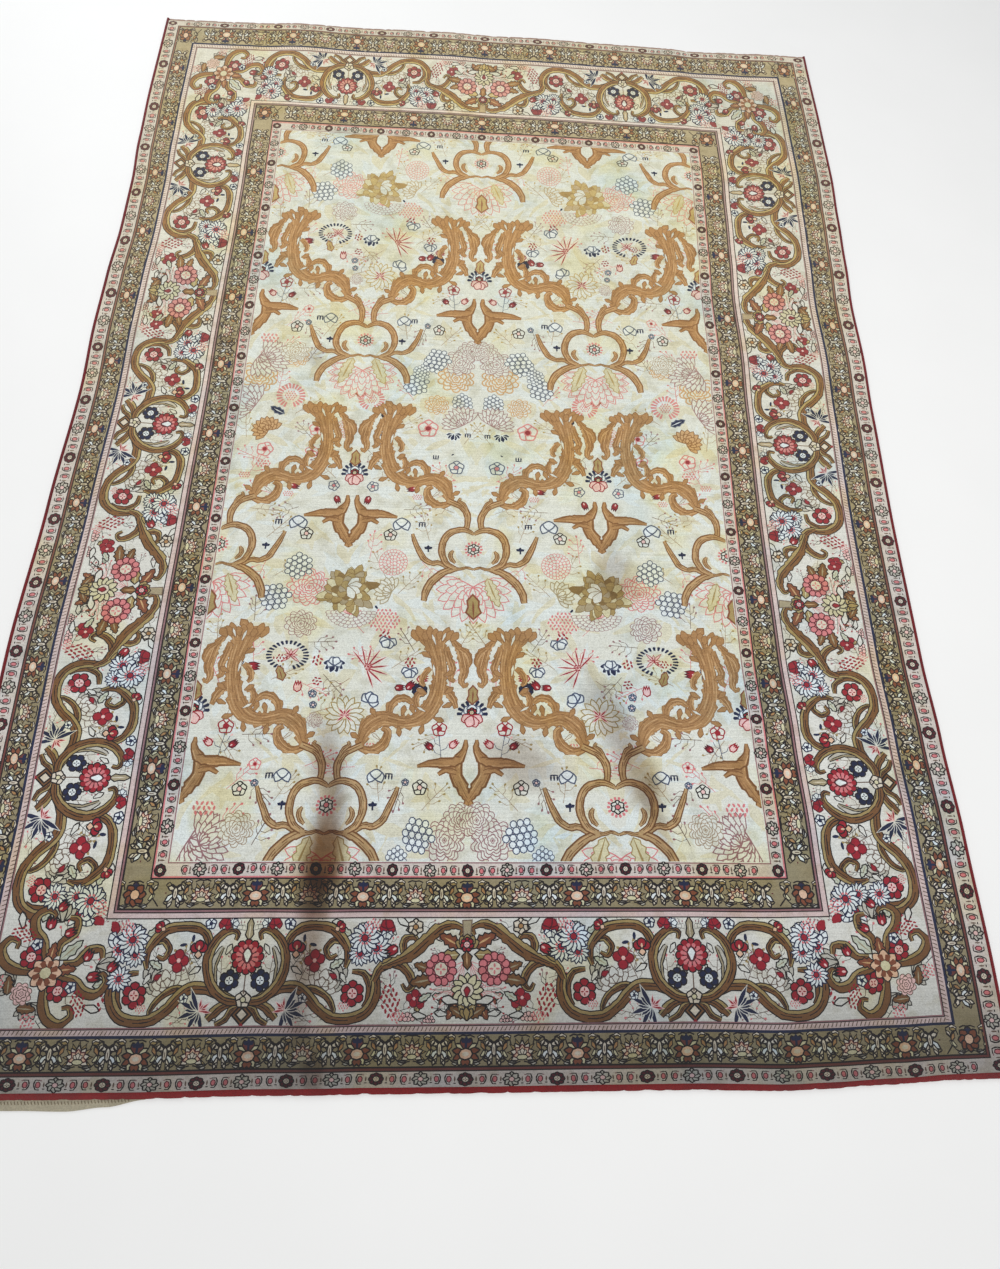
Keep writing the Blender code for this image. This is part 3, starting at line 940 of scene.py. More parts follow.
    def vase(self) -> Motif:
        """Draw what stands on the vase's axis."""
        stock = border_stock()
        side = set_out(stock, (
            ("rust leaf", 30, 70, -128, 0.8), ("rust leaf", 26, 44, -150, 0.7),
            ("flame", 12, 132, -150, 0.9), ("flame", 30, 74, -115, 0.8), ("lined leaf", 22, 46, -80, 1.1),
            ("pink twig", 40, 70, -70, 0.8),
            ("rust leaf", 16, 168, -62), ("olive leaf", 20, 150, -96, 1.1),
            ("brown leaf", 84, 96, -100, 1.0),
            ("brown leaf", 88, 116, -70, 0.8), ("big rosette", 62, 117), ("brown leaf", 6, 14, -58, 0.8),
            ("olive leaf", 4, 18, -30, 0.7),
            ("bean", 124, 58, 190, 0.8), ("pale leaf", 112, 50, 60, 0.9), ("lined leaf", 96, 16, -85, 0.9),
            ("red twig", 44, 30, -70, 0.8),
        ))
        made = side.mirrored()
        made.edged(dots((-6, 176), (6, 176), (10, 226), (-10, 226)), Yarn.KHAKI, Yarn.SOFT_LINE, 1.5)
        made.join(STOCK.fan(30.0, 5, 120.0, Yarn.OLIVE, Yarn.LINE), 0.0, 164.0)
        made.join(STOCK.rosette(15.0, 7, Yarn.RED, Yarn.PINK), 0.0, 172.0)
        made.join(STOCK.leaf(38.0, 24.0, 2, Yarn.BROWN, Yarn.LINE, Yarn.OCHRE_LIGHT), 0.0, 156.0, 180.0)
        made.join(stock["wheel"], 0.0, 72.0).join(stock["drop"], 0.0, 60.0)
        return made.join(STOCK.fan(26.0, 3, 60.0, Yarn.OLIVE, Yarn.LINE), 0.0, 8.0)

    def corner(self) -> Motif:
        """Draw the star flower of a corner, its axis on the diagonal."""
        stock = border_stock()
        arms = (
            dots((14, -8, 10), (44, -34, 20), (80, -50, 22), (112, -40, 18), (118, -14, 13), (100, -4, 8),
                (90, -16, 5)),
            dots((22, 16, 10), (56, 34, 20), (92, 36, 22), (118, 56, 18), (112, 84, 13), (92, 88, 8),
                (86, 72, 5)),
            dots((10, 40, 8), (30, 62, 16), (28, 96, 18), (46, 118, 14), (64, 108, 8)),
        )
        side = set_out(stock, (
            ("pink twig", 20, 60, -30), ("green twig", 60, -10, -60), ("acanthus", 70, 90, -60),
            ("pale leaf", 100, 60, -30),
            ("acanthus", 30, -60, -120, 0.9), ("red twig", 70, -70, -80), ("lined leaf", 120, 20, -60),
        ))
        for arm in arms:
            side.join(Limb(4.0, 22.0, 0.3, 2.6).draw(arm, Yarn.BROWN, Yarn.OLIVE, Yarn.LINE))
        side.join(set_out(stock, (
            ("rosette", 52, -2, 0, 0.9), ("coral", 106, 14, 60, 0.8), ("bud", 74, 60, -40),
            ("bud", 40, 78, 20, 0.9),
            ("chrysanthemum", 128, 108, 0, 0.8), ("rust leaf", 12, 18, -38, 0.8),
            ("brown leaf", 20, -84, -50, 0.8),
            ("bud", 96, 100, 0, 0.9), ("white flower", 66, 22), ("pink coral", 60, -84),
        )))
        made = side.mirrored().join(STOCK.layered(27.0, 4, 8, Yarn.PINK, Yarn.SOFT_LINE), 0.0, -62.0)
        made.join(STOCK.leaf(58.0, 24.0, 3, Yarn.SAGE, Yarn.LINE, Yarn.KHAKI), 0.0, 40.0)
        made.join(STOCK.daisy(36.0, 8, Yarn.PEACH, Yarn.LINE, Yarn.STRAW, 0.34))
        return made.join(STOCK.rays(12.0, 28.0, 8, 360.0, Yarn.RUST))

    def draw(self, cartoon: Cartoon) -> None:
        """Lay the border on all four sides and in the corners."""
        half, palmette, vase, corner = self.half(), self.palmette(), self.vase(), self.corner()
        short = Motif()
        short.patches = [patch for patch in half.patches if patch[0][:, 0].max() < self.corner_start]
        for side in Side:
            axes = (-1, 1) if side.is_end else (-2, 0, 2)
            for axis in axes:
                shift = 0.0 if side.is_end or axis else self.side_palmette_shift
                for way in (-1, 1):
                    part = short if axis * way == axes[-1] and axis else half
                    self.lay(cartoon, side, part, axis * self.half_repeat + shift, way)
                self.lay(cartoon, side, palmette, axis * self.half_repeat + shift, 1)
            for axis in (0,) if side.is_end else (-1, 1):
                self.lay(cartoon, side, vase, axis * self.half_repeat, 1)
        middle = self.out - 0.5 * self.width
        for across in (-1.0, 1.0):
            for upward in (-1.0, 1.0):
                turn = math.degrees(math.atan2(-upward, -across)) - 90.0
                centre = np.array([across * (FIELD_HALF_WIDTH + middle),
                        upward * (FIELD_HALF_LENGTH + middle)])
                cartoon.lay(corner, Zone.MAIN, lambda p, t=turn, c=centre: turned(p, t) + c)

    def lay(self, cartoon: Cartoon, side: Side, motif: Motif, centre: float, way: int) -> None:
        """Lay a motif on one side, one way along it from a centre."""
        cartoon.lay(motif, Zone.MAIN, lambda p: side.place(p * (way, 1.0) + (centre, 0.0), self.out))


@dataclass(frozen=True)
class Field:
    """The field: a half-drop net of ochre scrollwork with flowers between.

    Limbs are places and widths on one side of a ring's axis.
    """

    column: float = 365.0
    row: float = 733.3
    star_lift: float = 88.0
    scrolls: tuple[Points, ...] = (
        dots((306, 458, 10), (326, 430, 20), (336, 398, 26), (342, 364, 24), (334, 340, 16), (340, 322, 12),
            (352, 330, 5)),
        dots((292, 436, 12), (298, 404, 17), (308, 372, 18), (304, 346, 14), (316, 334, 8)),
        dots((320, 436, 8), (344, 420, 16), (356, 396, 14), (352, 376, 6)),
        dots((268, 324, 18), (292, 310, 24), (312, 284, 20), (322, 258, 10)),
        dots((250, 372, 10), (232, 356, 16), (226, 334, 13), (236, 322, 6)),
        dots((224, 250, 12), (214, 278, 16), (222, 300, 14), (236, 296, 6)),
        dots((148, 238, 12), (148, 262, 18), (162, 282, 20), (188, 286, 18), (206, 272, 9)),
        dots((62, 160, 14), (84, 148, 16), (112, 144, 22), (138, 164, 24), (144, 194, 18), (128, 206, 9)),
        dots((74, 154, 18), (80, 186, 34), (98, 214, 44), (130, 232, 40), (164, 224, 34), (194, 220, 36),
             (224, 230, 42), (250, 256, 46), (266, 294, 42), (274, 338, 38), (272, 384, 36), (262, 426, 50),
             (256, 460, 80), (258, 480, 94)),
    )
    rings: tuple[Points, ...] = (
        dots((180, 48, 8), (170, 16, 15), (157, -12, 17), (144, -34, 17), (122, -47, 15), (98, -46, 14),
            (72, -60, 12)),
        dots((0, -64, 5), (20, -58, 7), (38, -64, 9), (58, -62, 12)),
        dots((48, -62, 16), (70, -68, 21), (96, -82, 23), (120, -104, 23), (136, -134, 21),
            (142, -164, 15)),
        dots((60, -4, 5), (68, -18, 12), (63, -34, 12), (52, -44, 6)),
        dots((26, 58, 14), (19, 84, 18), (21, 112, 19), (36, 136, 19), (58, 148, 18), (80, 158, 18)),
        dots((22, 124, 6), (34, 148, 12), (48, 158, 9), (42, 168, 5)),
        dots((0, 46, 6), (12, 56, 13), (36, 63, 18), (64, 56, 20), (84, 36, 20), (93, 6, 20), (90, -24, 19),
             (76, -48, 17), (56, -60, 13)),
    )
    star: tuple[Points, ...] = (
        dots((24, 84, 6), (26, 54, 18), (44, 24, 30), (46, -8, 32), (28, -42, 30), (3, -84, 12)),
        dots((36, 30, 20), (70, 22, 30), (106, 22, 22), (148, 14, 6)),
        dots((44, -2, 10), (72, 4, 14), (92, -8, 7)),
    )

    def tracery(self) -> Motif:
        """Draw the scrollwork on both sides of a ring's axis."""
        made = Motif()
        flowing = Limb(9.0, 27.0, 9.0, 1.8, (0.55, -0.5, 0.05, -0.85, 0.8, 0.3, -0.25))
        for path in self.scrolls:
            made.join(flowing.draw(path, Yarn.OCHRE, Yarn.OCHRE_LIGHT, Yarn.OCHRE_EDGE))
        for index in range(9):
            frayed = turned(petal(34.0 + 9.0 * math.sin(2.3 * index), 20.0, 0.8),
                    30.0 - 8.5 * index) + (212.0 + 11.5 * index, 452.0 + 3.0 * (index % 2))
            made.edged(frayed, Yarn.OCHRE, Yarn.OCHRE_EDGE, 1.2)
        for x, y, turn in ((236, 214, 170), (286, 262, -70), (292, 300, -50), (240, 300, 60),
                (210, 244, 20), (70, 176, 60),
                           (172, 208, 190), (248, 404, 60), (288, 350, -60), (180, 240, -10),
                           (110, 236, 30), (266, 232, -110)):
            made.edged(turned(petal(26.0, 13.0), turn) + (x, y), Yarn.OCHRE, Yarn.OCHRE_EDGE, 1.2)
        for x, y, turn, length in ((126, 172, 50, 30), (240, 250, 60, 26), (262, 350, 10, 34),
                (262, 440, 20, 34), (280, 452, -20, 26)):
            made.edged(turned(petal(length, 7.0), turn) + (x, y), Yarn.FIELD_IVORY, Yarn.OCHRE_EDGE, 0.8)
        ring = Limb(3.0, 24.0, 9.0, 1.0, (0.1, 0.4, -0.4))
        for path in self.rings:
            made.join(ring.draw(path, Yarn.RING_CORE, Yarn.OCHRE_LIGHT, Yarn.RING_EDGE, Yarn.RING_EDGE))
        return made.mirrored()

    def stars(self) -> Motif:
        """Draw the winged four-point star between two rings."""
        side = Motif()
        for path in self.star:
            limb = Limb(5.0, 24.0, 9.0, 1.4, (0.5, -0.5, 0.0))
            side.join(limb.draw(path - (10.0, 0.0, 0.0), Yarn.OCHRE, Yarn.OCHRE_LIGHT, Yarn.OCHRE_EDGE,
                    Yarn.RING_EDGE))
        return side.mirrored()

    def strokes(self) -> Motif:
        """Draw the soft pale strokes that tint the ground of one quarter."""
        dice = np.random.default_rng(21)
        made = Motif()
        for index in range(150):
            x, y = dice.uniform(-185.0, 370.0), dice.uniform(-370.0, 370.0)
            stroke = petal(dice.uniform(50.0, 120.0), dice.uniform(12.0, 34.0))
            tint = (Yarn.GROUND_STRAW, Yarn.GROUND_COOL)[index % 2]
            made.add(turned(stroke, dice.uniform(0.0, 360.0)) + (x, y), tint)
        return made

    def draw(self, cartoon: Cartoon) -> None:
        """Lay the tinted strokes, the flowers and the scrollwork."""
        tracery, star, strokes = self.tracery(), self.stars(), self.strokes()
        cells = []
        for row in range(-2, 4):
            for column in range(-4, 5):
                if (column + row) % 2 == 0:
                    cells.append((column * self.column, (row - 0.5) * self.row))
        flowers = FieldFlowers().draw()
        for x, y in cells:
            for way in (-1.0, 1.0):
                cartoon.lay(strokes, Zone.FIELD, lambda p, x=x, y=y, w=way: p * (w, 1.0) + (x, y))
        for way in (-1.0, 1.0):
            for lift in (0.0, 2.0 * self.row):
                cartoon.lay(flowers, Zone.FIELD, lambda p, w=way,
                        up=lift: (p + (0.0, up - 1.5 * self.row)) * (w, 1.0))
        for x, y in cells:
            cartoon.lay(tracery, Zone.FIELD, lambda p, x=x, y=y: p + (x, y))
            cartoon.lay(star, Zone.FIELD, lambda p, x=x, y=y: p + (x + self.column, y + self.star_lift))


@dataclass(frozen=True)
class FieldFlowers:
    """The flowers between the scrollwork, over one whole repeat.

    Places are distances out from the field's axis and up from its lowest row
    of rings.
    """

    def stock(self) -> dict[str, Motif]:
        """Return each kind of flower by name."""
        s, ivory, white = STOCK, Yarn.FIELD_IVORY, Yarn.COOL_WHITE
        eye_ring = s.rays(40.0, 56.0, 24, 330.0, Yarn.NAVY)
        eye_ring.patches = [(p * (1.0, 0.74), yarn) for p, yarn in eye_ring.patches]
        eye_ring.join(s.spiky(26.0, 7, 300.0, Yarn.PINK, Yarn.RED), -8.0,
                0.0).join(s.beads(34.0, 18.0, 6.0, Yarn.RED), 18.0, -8.0)
        sunburst = s.rays(20.0, 38.0, 9, 200.0, Yarn.NAVY).join(s.fan(24.0, 5, 170.0, white, Yarn.SLATE))
        sunburst.join(s.rosette(11.0, 6, Yarn.RED, Yarn.STRAW), 0.0,
                4.0).join(s.fan(26.0, 4, 130.0, Yarn.PINK, Yarn.RED), 0, -6, 180)
        ring_heart = s.rays(18.0, 27.0, 14, 360.0,
                Yarn.ROSE).join(s.daisy(16.0, 6, ivory, Yarn.LINE, Yarn.ROSE, 0.35))
        scale_bowl = Motif()
        for outline, yarn in s.scales(68.0, 5, 180.0, ivory, Yarn.MAUVE).patches:
            scale_bowl.add(turned(outline, 180.0) * (1.0, 0.7), yarn)
        scale_bowl.join(s.spiky(26.0, 11, 150.0, Yarn.PINK, Yarn.ROSE), 0.0, -8.0)
        sprig = s.twig(66.0, -10.0, Yarn.SLATE, Yarn.PINK,
                4).join(s.daisy(17.0, 5, ivory, Yarn.RED, Yarn.RED), -8, 74)
        sprig.join(s.tulip(13.0, 16.0, Yarn.PINK, Yarn.RED), 20, 30,
                -50).join(s.tulip(12.0, 14.0, Yarn.RED, Yarn.MAROON), -24, 26, 50)
        lined = {name: s.daisy(18.0, 5, ivory, line, heart) for name, line, heart in (
            ("lined flower", Yarn.SLATE, Yarn.ROSE), ("rose flower", Yarn.ROSE, Yarn.RED),
            ("dark flower", Yarn.LINE, Yarn.PINK))}
        return lined | {
            "grapes": s.grapes(5, 5, 17.0), "small grapes": s.grapes(3, 3, 14.0), "peony": s.peony(72.0),
            "pink peony": s.layered(64.0, 8, 12, ivory, Yarn.ROSE, 2.6),
            "pale layered": s.layered(46.0, 7, 10, ivory, Yarn.TWIG),
            "mauve layered": s.layered(46.0, 7, 10, ivory, Yarn.MAUVE),
            "ochre layered": s.layered(44.0, 6, 10, ivory, Yarn.OCHRE_LIGHT, 3.0),
            "pink ball": s.scales(40.0, 4, 360.0, ivory, Yarn.ROSE), "scale bowl": scale_bowl,
            "khaki fan": s.fans(40.0, 2, 170.0, ivory, Yarn.KHAKI),
            "pink dashes": s.beads(90.0, 64.0, 8.0, Yarn.ROSE),
            "navy dots": s.beads(10.0, 48.0, 10.0, Yarn.NAVY),
            "red spikes": Motif().spread(9, 200.0, petal(62.0, 4.6, 1.1), Yarn.RED, Yarn.PINK,
                0.7).join(s.beads(30.0, 22.0, 6.0, Yarn.RED), 0, 6),
                "red beads": s.beads(46.0, 24.0, 9.0, Yarn.RED),
            "ring floret": s.rosette(24.0, 10, Yarn.NAVY, white).join(s.beads(16.0, 16.0, 5.0, Yarn.ROSE)),
            "eye ring": eye_ring,
            "navy fan": s.fan(30.0, 6, 170.0, Yarn.NAVY, white, 0.7),
            "white cap": s.fan(17.0, 4, 150.0, white, Yarn.SLATE),
            "bud": s.tulip(20.0, 26.0, Yarn.RED, Yarn.MAROON),
            "pale bud": s.tulip(17.0, 22.0, Yarn.PINK, Yarn.RED),
            "brown leaf": s.leaf(40.0, 24.0, 2, Yarn.OLIVE, Yarn.RUST, Yarn.RUST),
            "ochre leaf": s.leaf(44.0, 28.0, 2, Yarn.OCHRE, Yarn.OCHRE_EDGE, Yarn.OCHRE_LIGHT),
            "ochre daisy": s.daisy(50.0, 15, ivory, Yarn.OLIVE, Yarn.STRAW,
                0.2).join(s.spiky(24.0, 7, 300.0, Yarn.RED, Yarn.PINK)),
            "ringlet": s.rosette(8.0, 5, white, Yarn.PINK, Yarn.SLATE), "sprig": sprig,
            "ticks": s.ticks(3, 8.0, Yarn.NAVY),
            "white ticks": s.fan(16.0, 3, 150.0, white, Yarn.SLATE), "mark": s.fleur(22.0, Yarn.NAVY),
            "pink coral": s.beads(40.0, 34.0, 7.0, Yarn.ROSE),
            "sunburst": sunburst, "ring heart": ring_heart,
            "spray": s.fans(104.0, 4, 210.0, ivory, Yarn.ROSE, 5),
            "tail leaf": s.leaf(110.0, 44.0, 5, Yarn.STRAW, Yarn.OLIVE, Yarn.OLIVE),
            "white fan": s.fans(70.0, 3, 150.0, ivory, Yarn.MAUVE, 5),
            "snail": s.fans(46.0, 3, 200.0, Yarn.OCHRE_LIGHT, Yarn.OCHRE_EDGE, 4),
            "rose ring": s.rays(26.0, 46.0, 20, 330.0, Yarn.ROSE).join(s.beads(34, 34, 6, Yarn.ROSE)),
            "navy leaf": s.leaf(46.0, 22.0, 3, Yarn.NAVY, Yarn.SLATE, white),
            "rose twig": s.twig(80.0, 22.0, Yarn.ROSE, Yarn.ROSE),
            "twig": s.twig(84.0, -20.0, Yarn.TWIG, Yarn.OLIVE),
            "dark twig": s.twig(70.0, 16.0, Yarn.SOFT_LINE, Yarn.MAUVE),
        }

    def draw(self) -> Motif:
        """Return the flowers of one whole repeat, the twigs below them."""
        rows = (
            ("twig", 214, 590, 30), ("twig", 250, 640, -40), ("rose twig", 300, 700, 20),
            ("twig", 560, 640, 40), ("dark twig", 600, 500, 10),
            ("rose twig", 300, 470, -30), ("rose twig", 250, 400, -70), ("twig", 220, 370, 40),
            ("dark twig", 400, 350, 150), ("twig", 330, 340, -140),
            ("rose twig", 470, 330, 130), ("twig", 540, 330, 50), ("rose twig", 590, 380, 10),
            ("dark twig", 450, 440, 100), ("twig", 430, 240, 60),
            ("rose twig", 300, 230, -60), ("twig", 620, 270, 180), ("dark twig", 160, 420, -20),
            ("rose twig", 60, 310, 10), ("rose twig", 670, 310, -10),
            ("twig", 500, 10, 20), ("twig", 232, 10, -20), ("dark twig", 560, 60, 150),
            ("dark twig", 170, 60, -150), ("rose twig", 620, 40, 60),
            ("twig", 40, 430, 20), ("twig", 690, 430, -20), ("rose twig", 640, -60, 60),
            ("twig", 120, -10, 30), ("dark twig", 540, -90, 40),
            ("rose twig", 430, 100, 80), ("rose twig", 300, 100, -80), ("twig", 660, 180, 130),
            ("twig", 70, 190, -130), ("dark twig", 600, 180, 100),
            ("twig", 560, 1180, 40), ("rose twig", 620, 1260, 20), ("dark twig", 500, 1090, -30),
            ("twig", 250, 1130, 40), ("rose twig", 200, 1240, -20),
            ("dark twig", 90, 1180, 60), ("twig", 40, 1090, 20), ("twig", 700, 1090, -20),
            ("rose twig", 640, 1010, -50), ("twig", 420, 960, -60),
            ("twig", 310, 960, 60), ("rose twig", 600, 900, -60), ("rose twig", 130, 900, 60),
            ("dark twig", 520, 860, -100), ("dark twig", 210, 860, 100),
            ("twig", 660, 850, 80), ("twig", 60, 850, -80), ("rose twig", 60, 960, -40),
            ("rose twig", 680, 960, 40), ("dark twig", 330, 1060, 150),
            ("dark twig", 460, 1060, -150), ("twig", 600, 760, 30), ("twig", 130, 760, -30),
            ("rose twig", 150, 690, 150), ("rose twig", 590, 690, -150),
            ("spray", 0, 610, 180), ("spray", 730, 610, 180), ("spray", 365, 1343, 180),
            ("spray", 365, -124, 180, 0.9),
            ("tail leaf", 40, 640, 200, 0.8), ("tail leaf", 690, 640, 160, 0.8),
            ("tail leaf", 325, 1373, 160, 0.8), ("tail leaf", 405, 1373, 200, 0.8),
            ("tail leaf", 330, -72, 160, 0.9), ("tail leaf", 400, -72, 200, 0.9), ("ring heart", 365, 0),
            ("ring heart", 0, 733), ("ring heart", 730, 733),
            ("brown leaf", 0, 520, 0, 1.7), ("brown leaf", 730, 520, 0, 1.7),
            ("brown leaf", 365, 1250, 0, 1.7),
            ("pink peony", 462, 606, 20), ("mauve layered", 474, 494), ("khaki fan", 236, 596, -60, 1.1),
            ("pink dashes", 250, 510), ("scale bowl", 340, 534),
            ("peony", 356, 600, 15, 1.1), ("pink ball", 232, 688), ("navy dots", 272, 548, -35),
            ("grapes", 498, 672, 30), ("grapes", 552, 574, -10, 1.05),
            ("red spikes", 288, 372, 60), ("red beads", 244, 462, 10), ("white cap", 234, 450, 190, 1.3),
            ("ring floret", 622, 458), ("ochre leaf", 606, 468, -40),
            ("eye ring", 500, 400, 0, 1.05), ("navy fan", 374, 384, 180), ("white cap", 374, 378, 0, 1.2),
            ("red beads", 420, 388, -20, 0.9), ("bud", 604, 366, 90),
            ("white cap", 624, 366, -80), ("brown leaf", 508, 330, -20), ("pale bud", 466, 300),
            ("red beads", 416, 330, 70, 0.8), ("ringlet", 426, 294, 0, 1.1),
            ("ringlet", 422, 264), ("white cap", 274, 278, 30, 1.4), ("ochre daisy", 336, 238),
            ("mauve layered", 414, 222, 0, 0.5), ("red beads", 172, 388, 0, 0.9),
            ("white cap", 172, 366, 180, 1.2), ("pale bud", 150, 342, 90), ("bud", 176, 312, 40, 0.9),
            ("ring floret", 142, 310, 0, 0.8), ("bud", 208, 316, 90, 0.8),
            ("sunburst", 0, 242, 0, 1.1), ("sunburst", 730, 242, 0, 1.1), ("brown leaf", 0, 272, 0, 1.2),
            ("brown leaf", 730, 272, 0, 1.2),
            ("sprig", 652, 120, 0, 1.1), ("sprig", 76, 120, 0, 1.1, True), ("ticks", 518, 70),
            ("white ticks", 484, 70, 0, 1.3), ("ticks", 210, 70),
            ("white ticks", 244, 70, 0, 1.3), ("mark", 478, -12), ("mark", 248, -12),
            ("rose flower", 558, 104, 0, 0.8), ("ringlet", 552, 56), ("ringlet", 166, 60),
            ("dark flower", 588, 40), ("dark flower", 128, 46), ("white fan", 690, -76, 120, 1.1),
            ("white fan", 664, -84, 60), ("pale layered", 582, -54),
            ("mauve layered", 60, -76, 0, 1.2), ("mauve layered", 20, -30), ("grapes", 128, -66, 10),
            ("grapes", 180, -118, 40, 0.7), ("pink coral", 668, -6, 0, 1.3),
            ("pink coral", 428, 152, 0, 0.9), ("pink coral", 268, 152, 0, 0.9),
            ("navy dots", 484, -98, -30, 0.8),
            ("ochre layered", 572, 1392, 0, 0.9), ("pink peony", 648, 1396, 0, 0.7),
            ("ochre layered", 690, 1312, 0, 1.5), ("white fan", 690, 1206, -60, 1.1),
            ("rose ring", 580, 1246), ("navy leaf", 596, 1180, -60), ("snail", 640, 1120, -40),
            ("grapes", 136, 1386, 20), ("grapes", 196, 1300, -20),
            ("ochre layered", 128, 1228, 0, 0.9), ("ochre layered", 70, 1330, 0, 1.4),
            ("navy fan", 72, 1124, 180, 0.8), ("rose flower", 152, 1140, 0, 1.6),
            ("ticks", 30, 1116, 0, 0.9), ("ticks", 124, 1044, 180, 0.9), ("navy dots", 74, 1052, 60, 0.7),
            ("ring floret", 272, 1188), ("ochre leaf", 256, 1200, -40),
            ("lined flower", 276, 1108), ("rose flower", 490, 1126, 0, 1.2),
            ("navy dots", 470, 1120, 20, 0.7), ("ring floret", 466, 1040, 0, 0.8),
            ("rose flower", 500, 1046), ("sunburst", 365, 974, 0, 1.1), ("brown leaf", 365, 1004, 0, 1.2),
            ("lined flower", 424, 934, 20, 0.9),
            ("lined flower", 306, 934, -20, 0.9), ("bud", 414, 900, 160, 0.8), ("bud", 316, 900, 200, 0.8),
            ("bud", 554, 932, 100, 0.9), ("bud", 176, 932, -100, 0.9),
            ("pink coral", 556, 902, 0, 0.7), ("pink coral", 172, 902, 0, 0.7),
            ("white ticks", 516, 806, 0, 1.5), ("white ticks", 214, 806, 0, 1.5),
            ("ticks", 572, 806), ("ticks", 154, 806), ("dark flower", 488, 776), ("dark flower", 246, 776),
            ("grapes", 48, 1240, 30, 0.8),
            ("white fan", 46, 1160, -30, 0.9), ("pink coral", 640, 1000), ("pink coral", 690, 960, 0, 0.8),
            ("mark", 598, 722), ("mark", 132, 722),
            ("rose flower", 640, 1050, 20, 1.3), ("lined flower", 60, 1006, 0, 1.2),
            ("rose ring", 330, 1240, 0, 0.9), ("pink ball", 400, 1130, 0, 0.8),
        )
        return set_out(self.stock(), rows)


SIDE_STATIONS = dots(
    (-1700, 10), (-1500, 12), (-1200, 10), (-950, 4), (-720, 0), (-320, 12), (80, 24), (300, 17), (500, 19),
    (700, 27), (900, 26), (1100, 16), (1350, 11), (1720, 12))
RIGHT_STATIONS = dots(
    (-1700, 4), (-1500, 2), (-1200, 8), (-950, 18), (-720, 28), (-320, 31), (80, 25), (300, 18), (500, 22),
    (700, 13), (900, 7), (1100, 0), (1350, 3), (1720, 10))
NEAR_STATIONS = dots(
    (-1210, 27), (-1050, 25), (-900, 24), (-750, 23), (-510, 25), (-300, 24), (-160, 23), (0, 22),
    (150, 22),
    (450, 21), (700, 16), (780, 18), (950, 24), (1090, 30), (1210, 32))
FAR_STATIONS = dots(
    (-1210, 29), (-1050, 25), (-900, 19), (-750, 9), (-510, 10), (-300, 3), (-160, 0), (0, 6), (150, 2),
    (450, 8), (700, 12), (780, 22), (950, 15), (1090, 8), (1210, 10))
TAPE_STATIONS = dots((-1240, 16), (-1000, 20), (-900, 22), (-820, 15), (-735, 2))


@dataclass(frozen=True)
class Ripple:
    """A soft ripple: its middle, size and turn on the floor, and its rise."""

    x: float
    y: float
    length: float
    width: float
    turn: float
    rise: float


RIPPLES = (
    Ripple(-400, -1400, 1150, 270, 2, 5.0),
    Ripple(370, -1060, 760, 280, -24, 4.5),
    Ripple(690, -1560, 620, 250, 8, 3.0),
    Ripple(-1080, -720, 900, 330, -4, 4.0),
    Ripple(-700, 1620, 560, 330, 12, 3.5),
    Ripple(820, 1560, 520, 300, -14, 3.0),
    Ripple(1080, 180, 800, 320, 3, 3.0),
)


def eased(value: Points | float, stations: Points) -> Points:
    """Return a table's value at a place, eased between its stations."""
    places, sizes = stations[:, 0], stations[:, 1]
    held = np.clip(value, places[0], places[-1])
    index = np.clip(np.searchsorted(places, held), 1, len(places) - 1)
    share = (held - places[index - 1]) / (places[index] - places[index - 1])
    share = share * share * (3.0 - 2.0 * share)
    return sizes[index - 1] + share * (sizes[index] - sizes[index - 1])


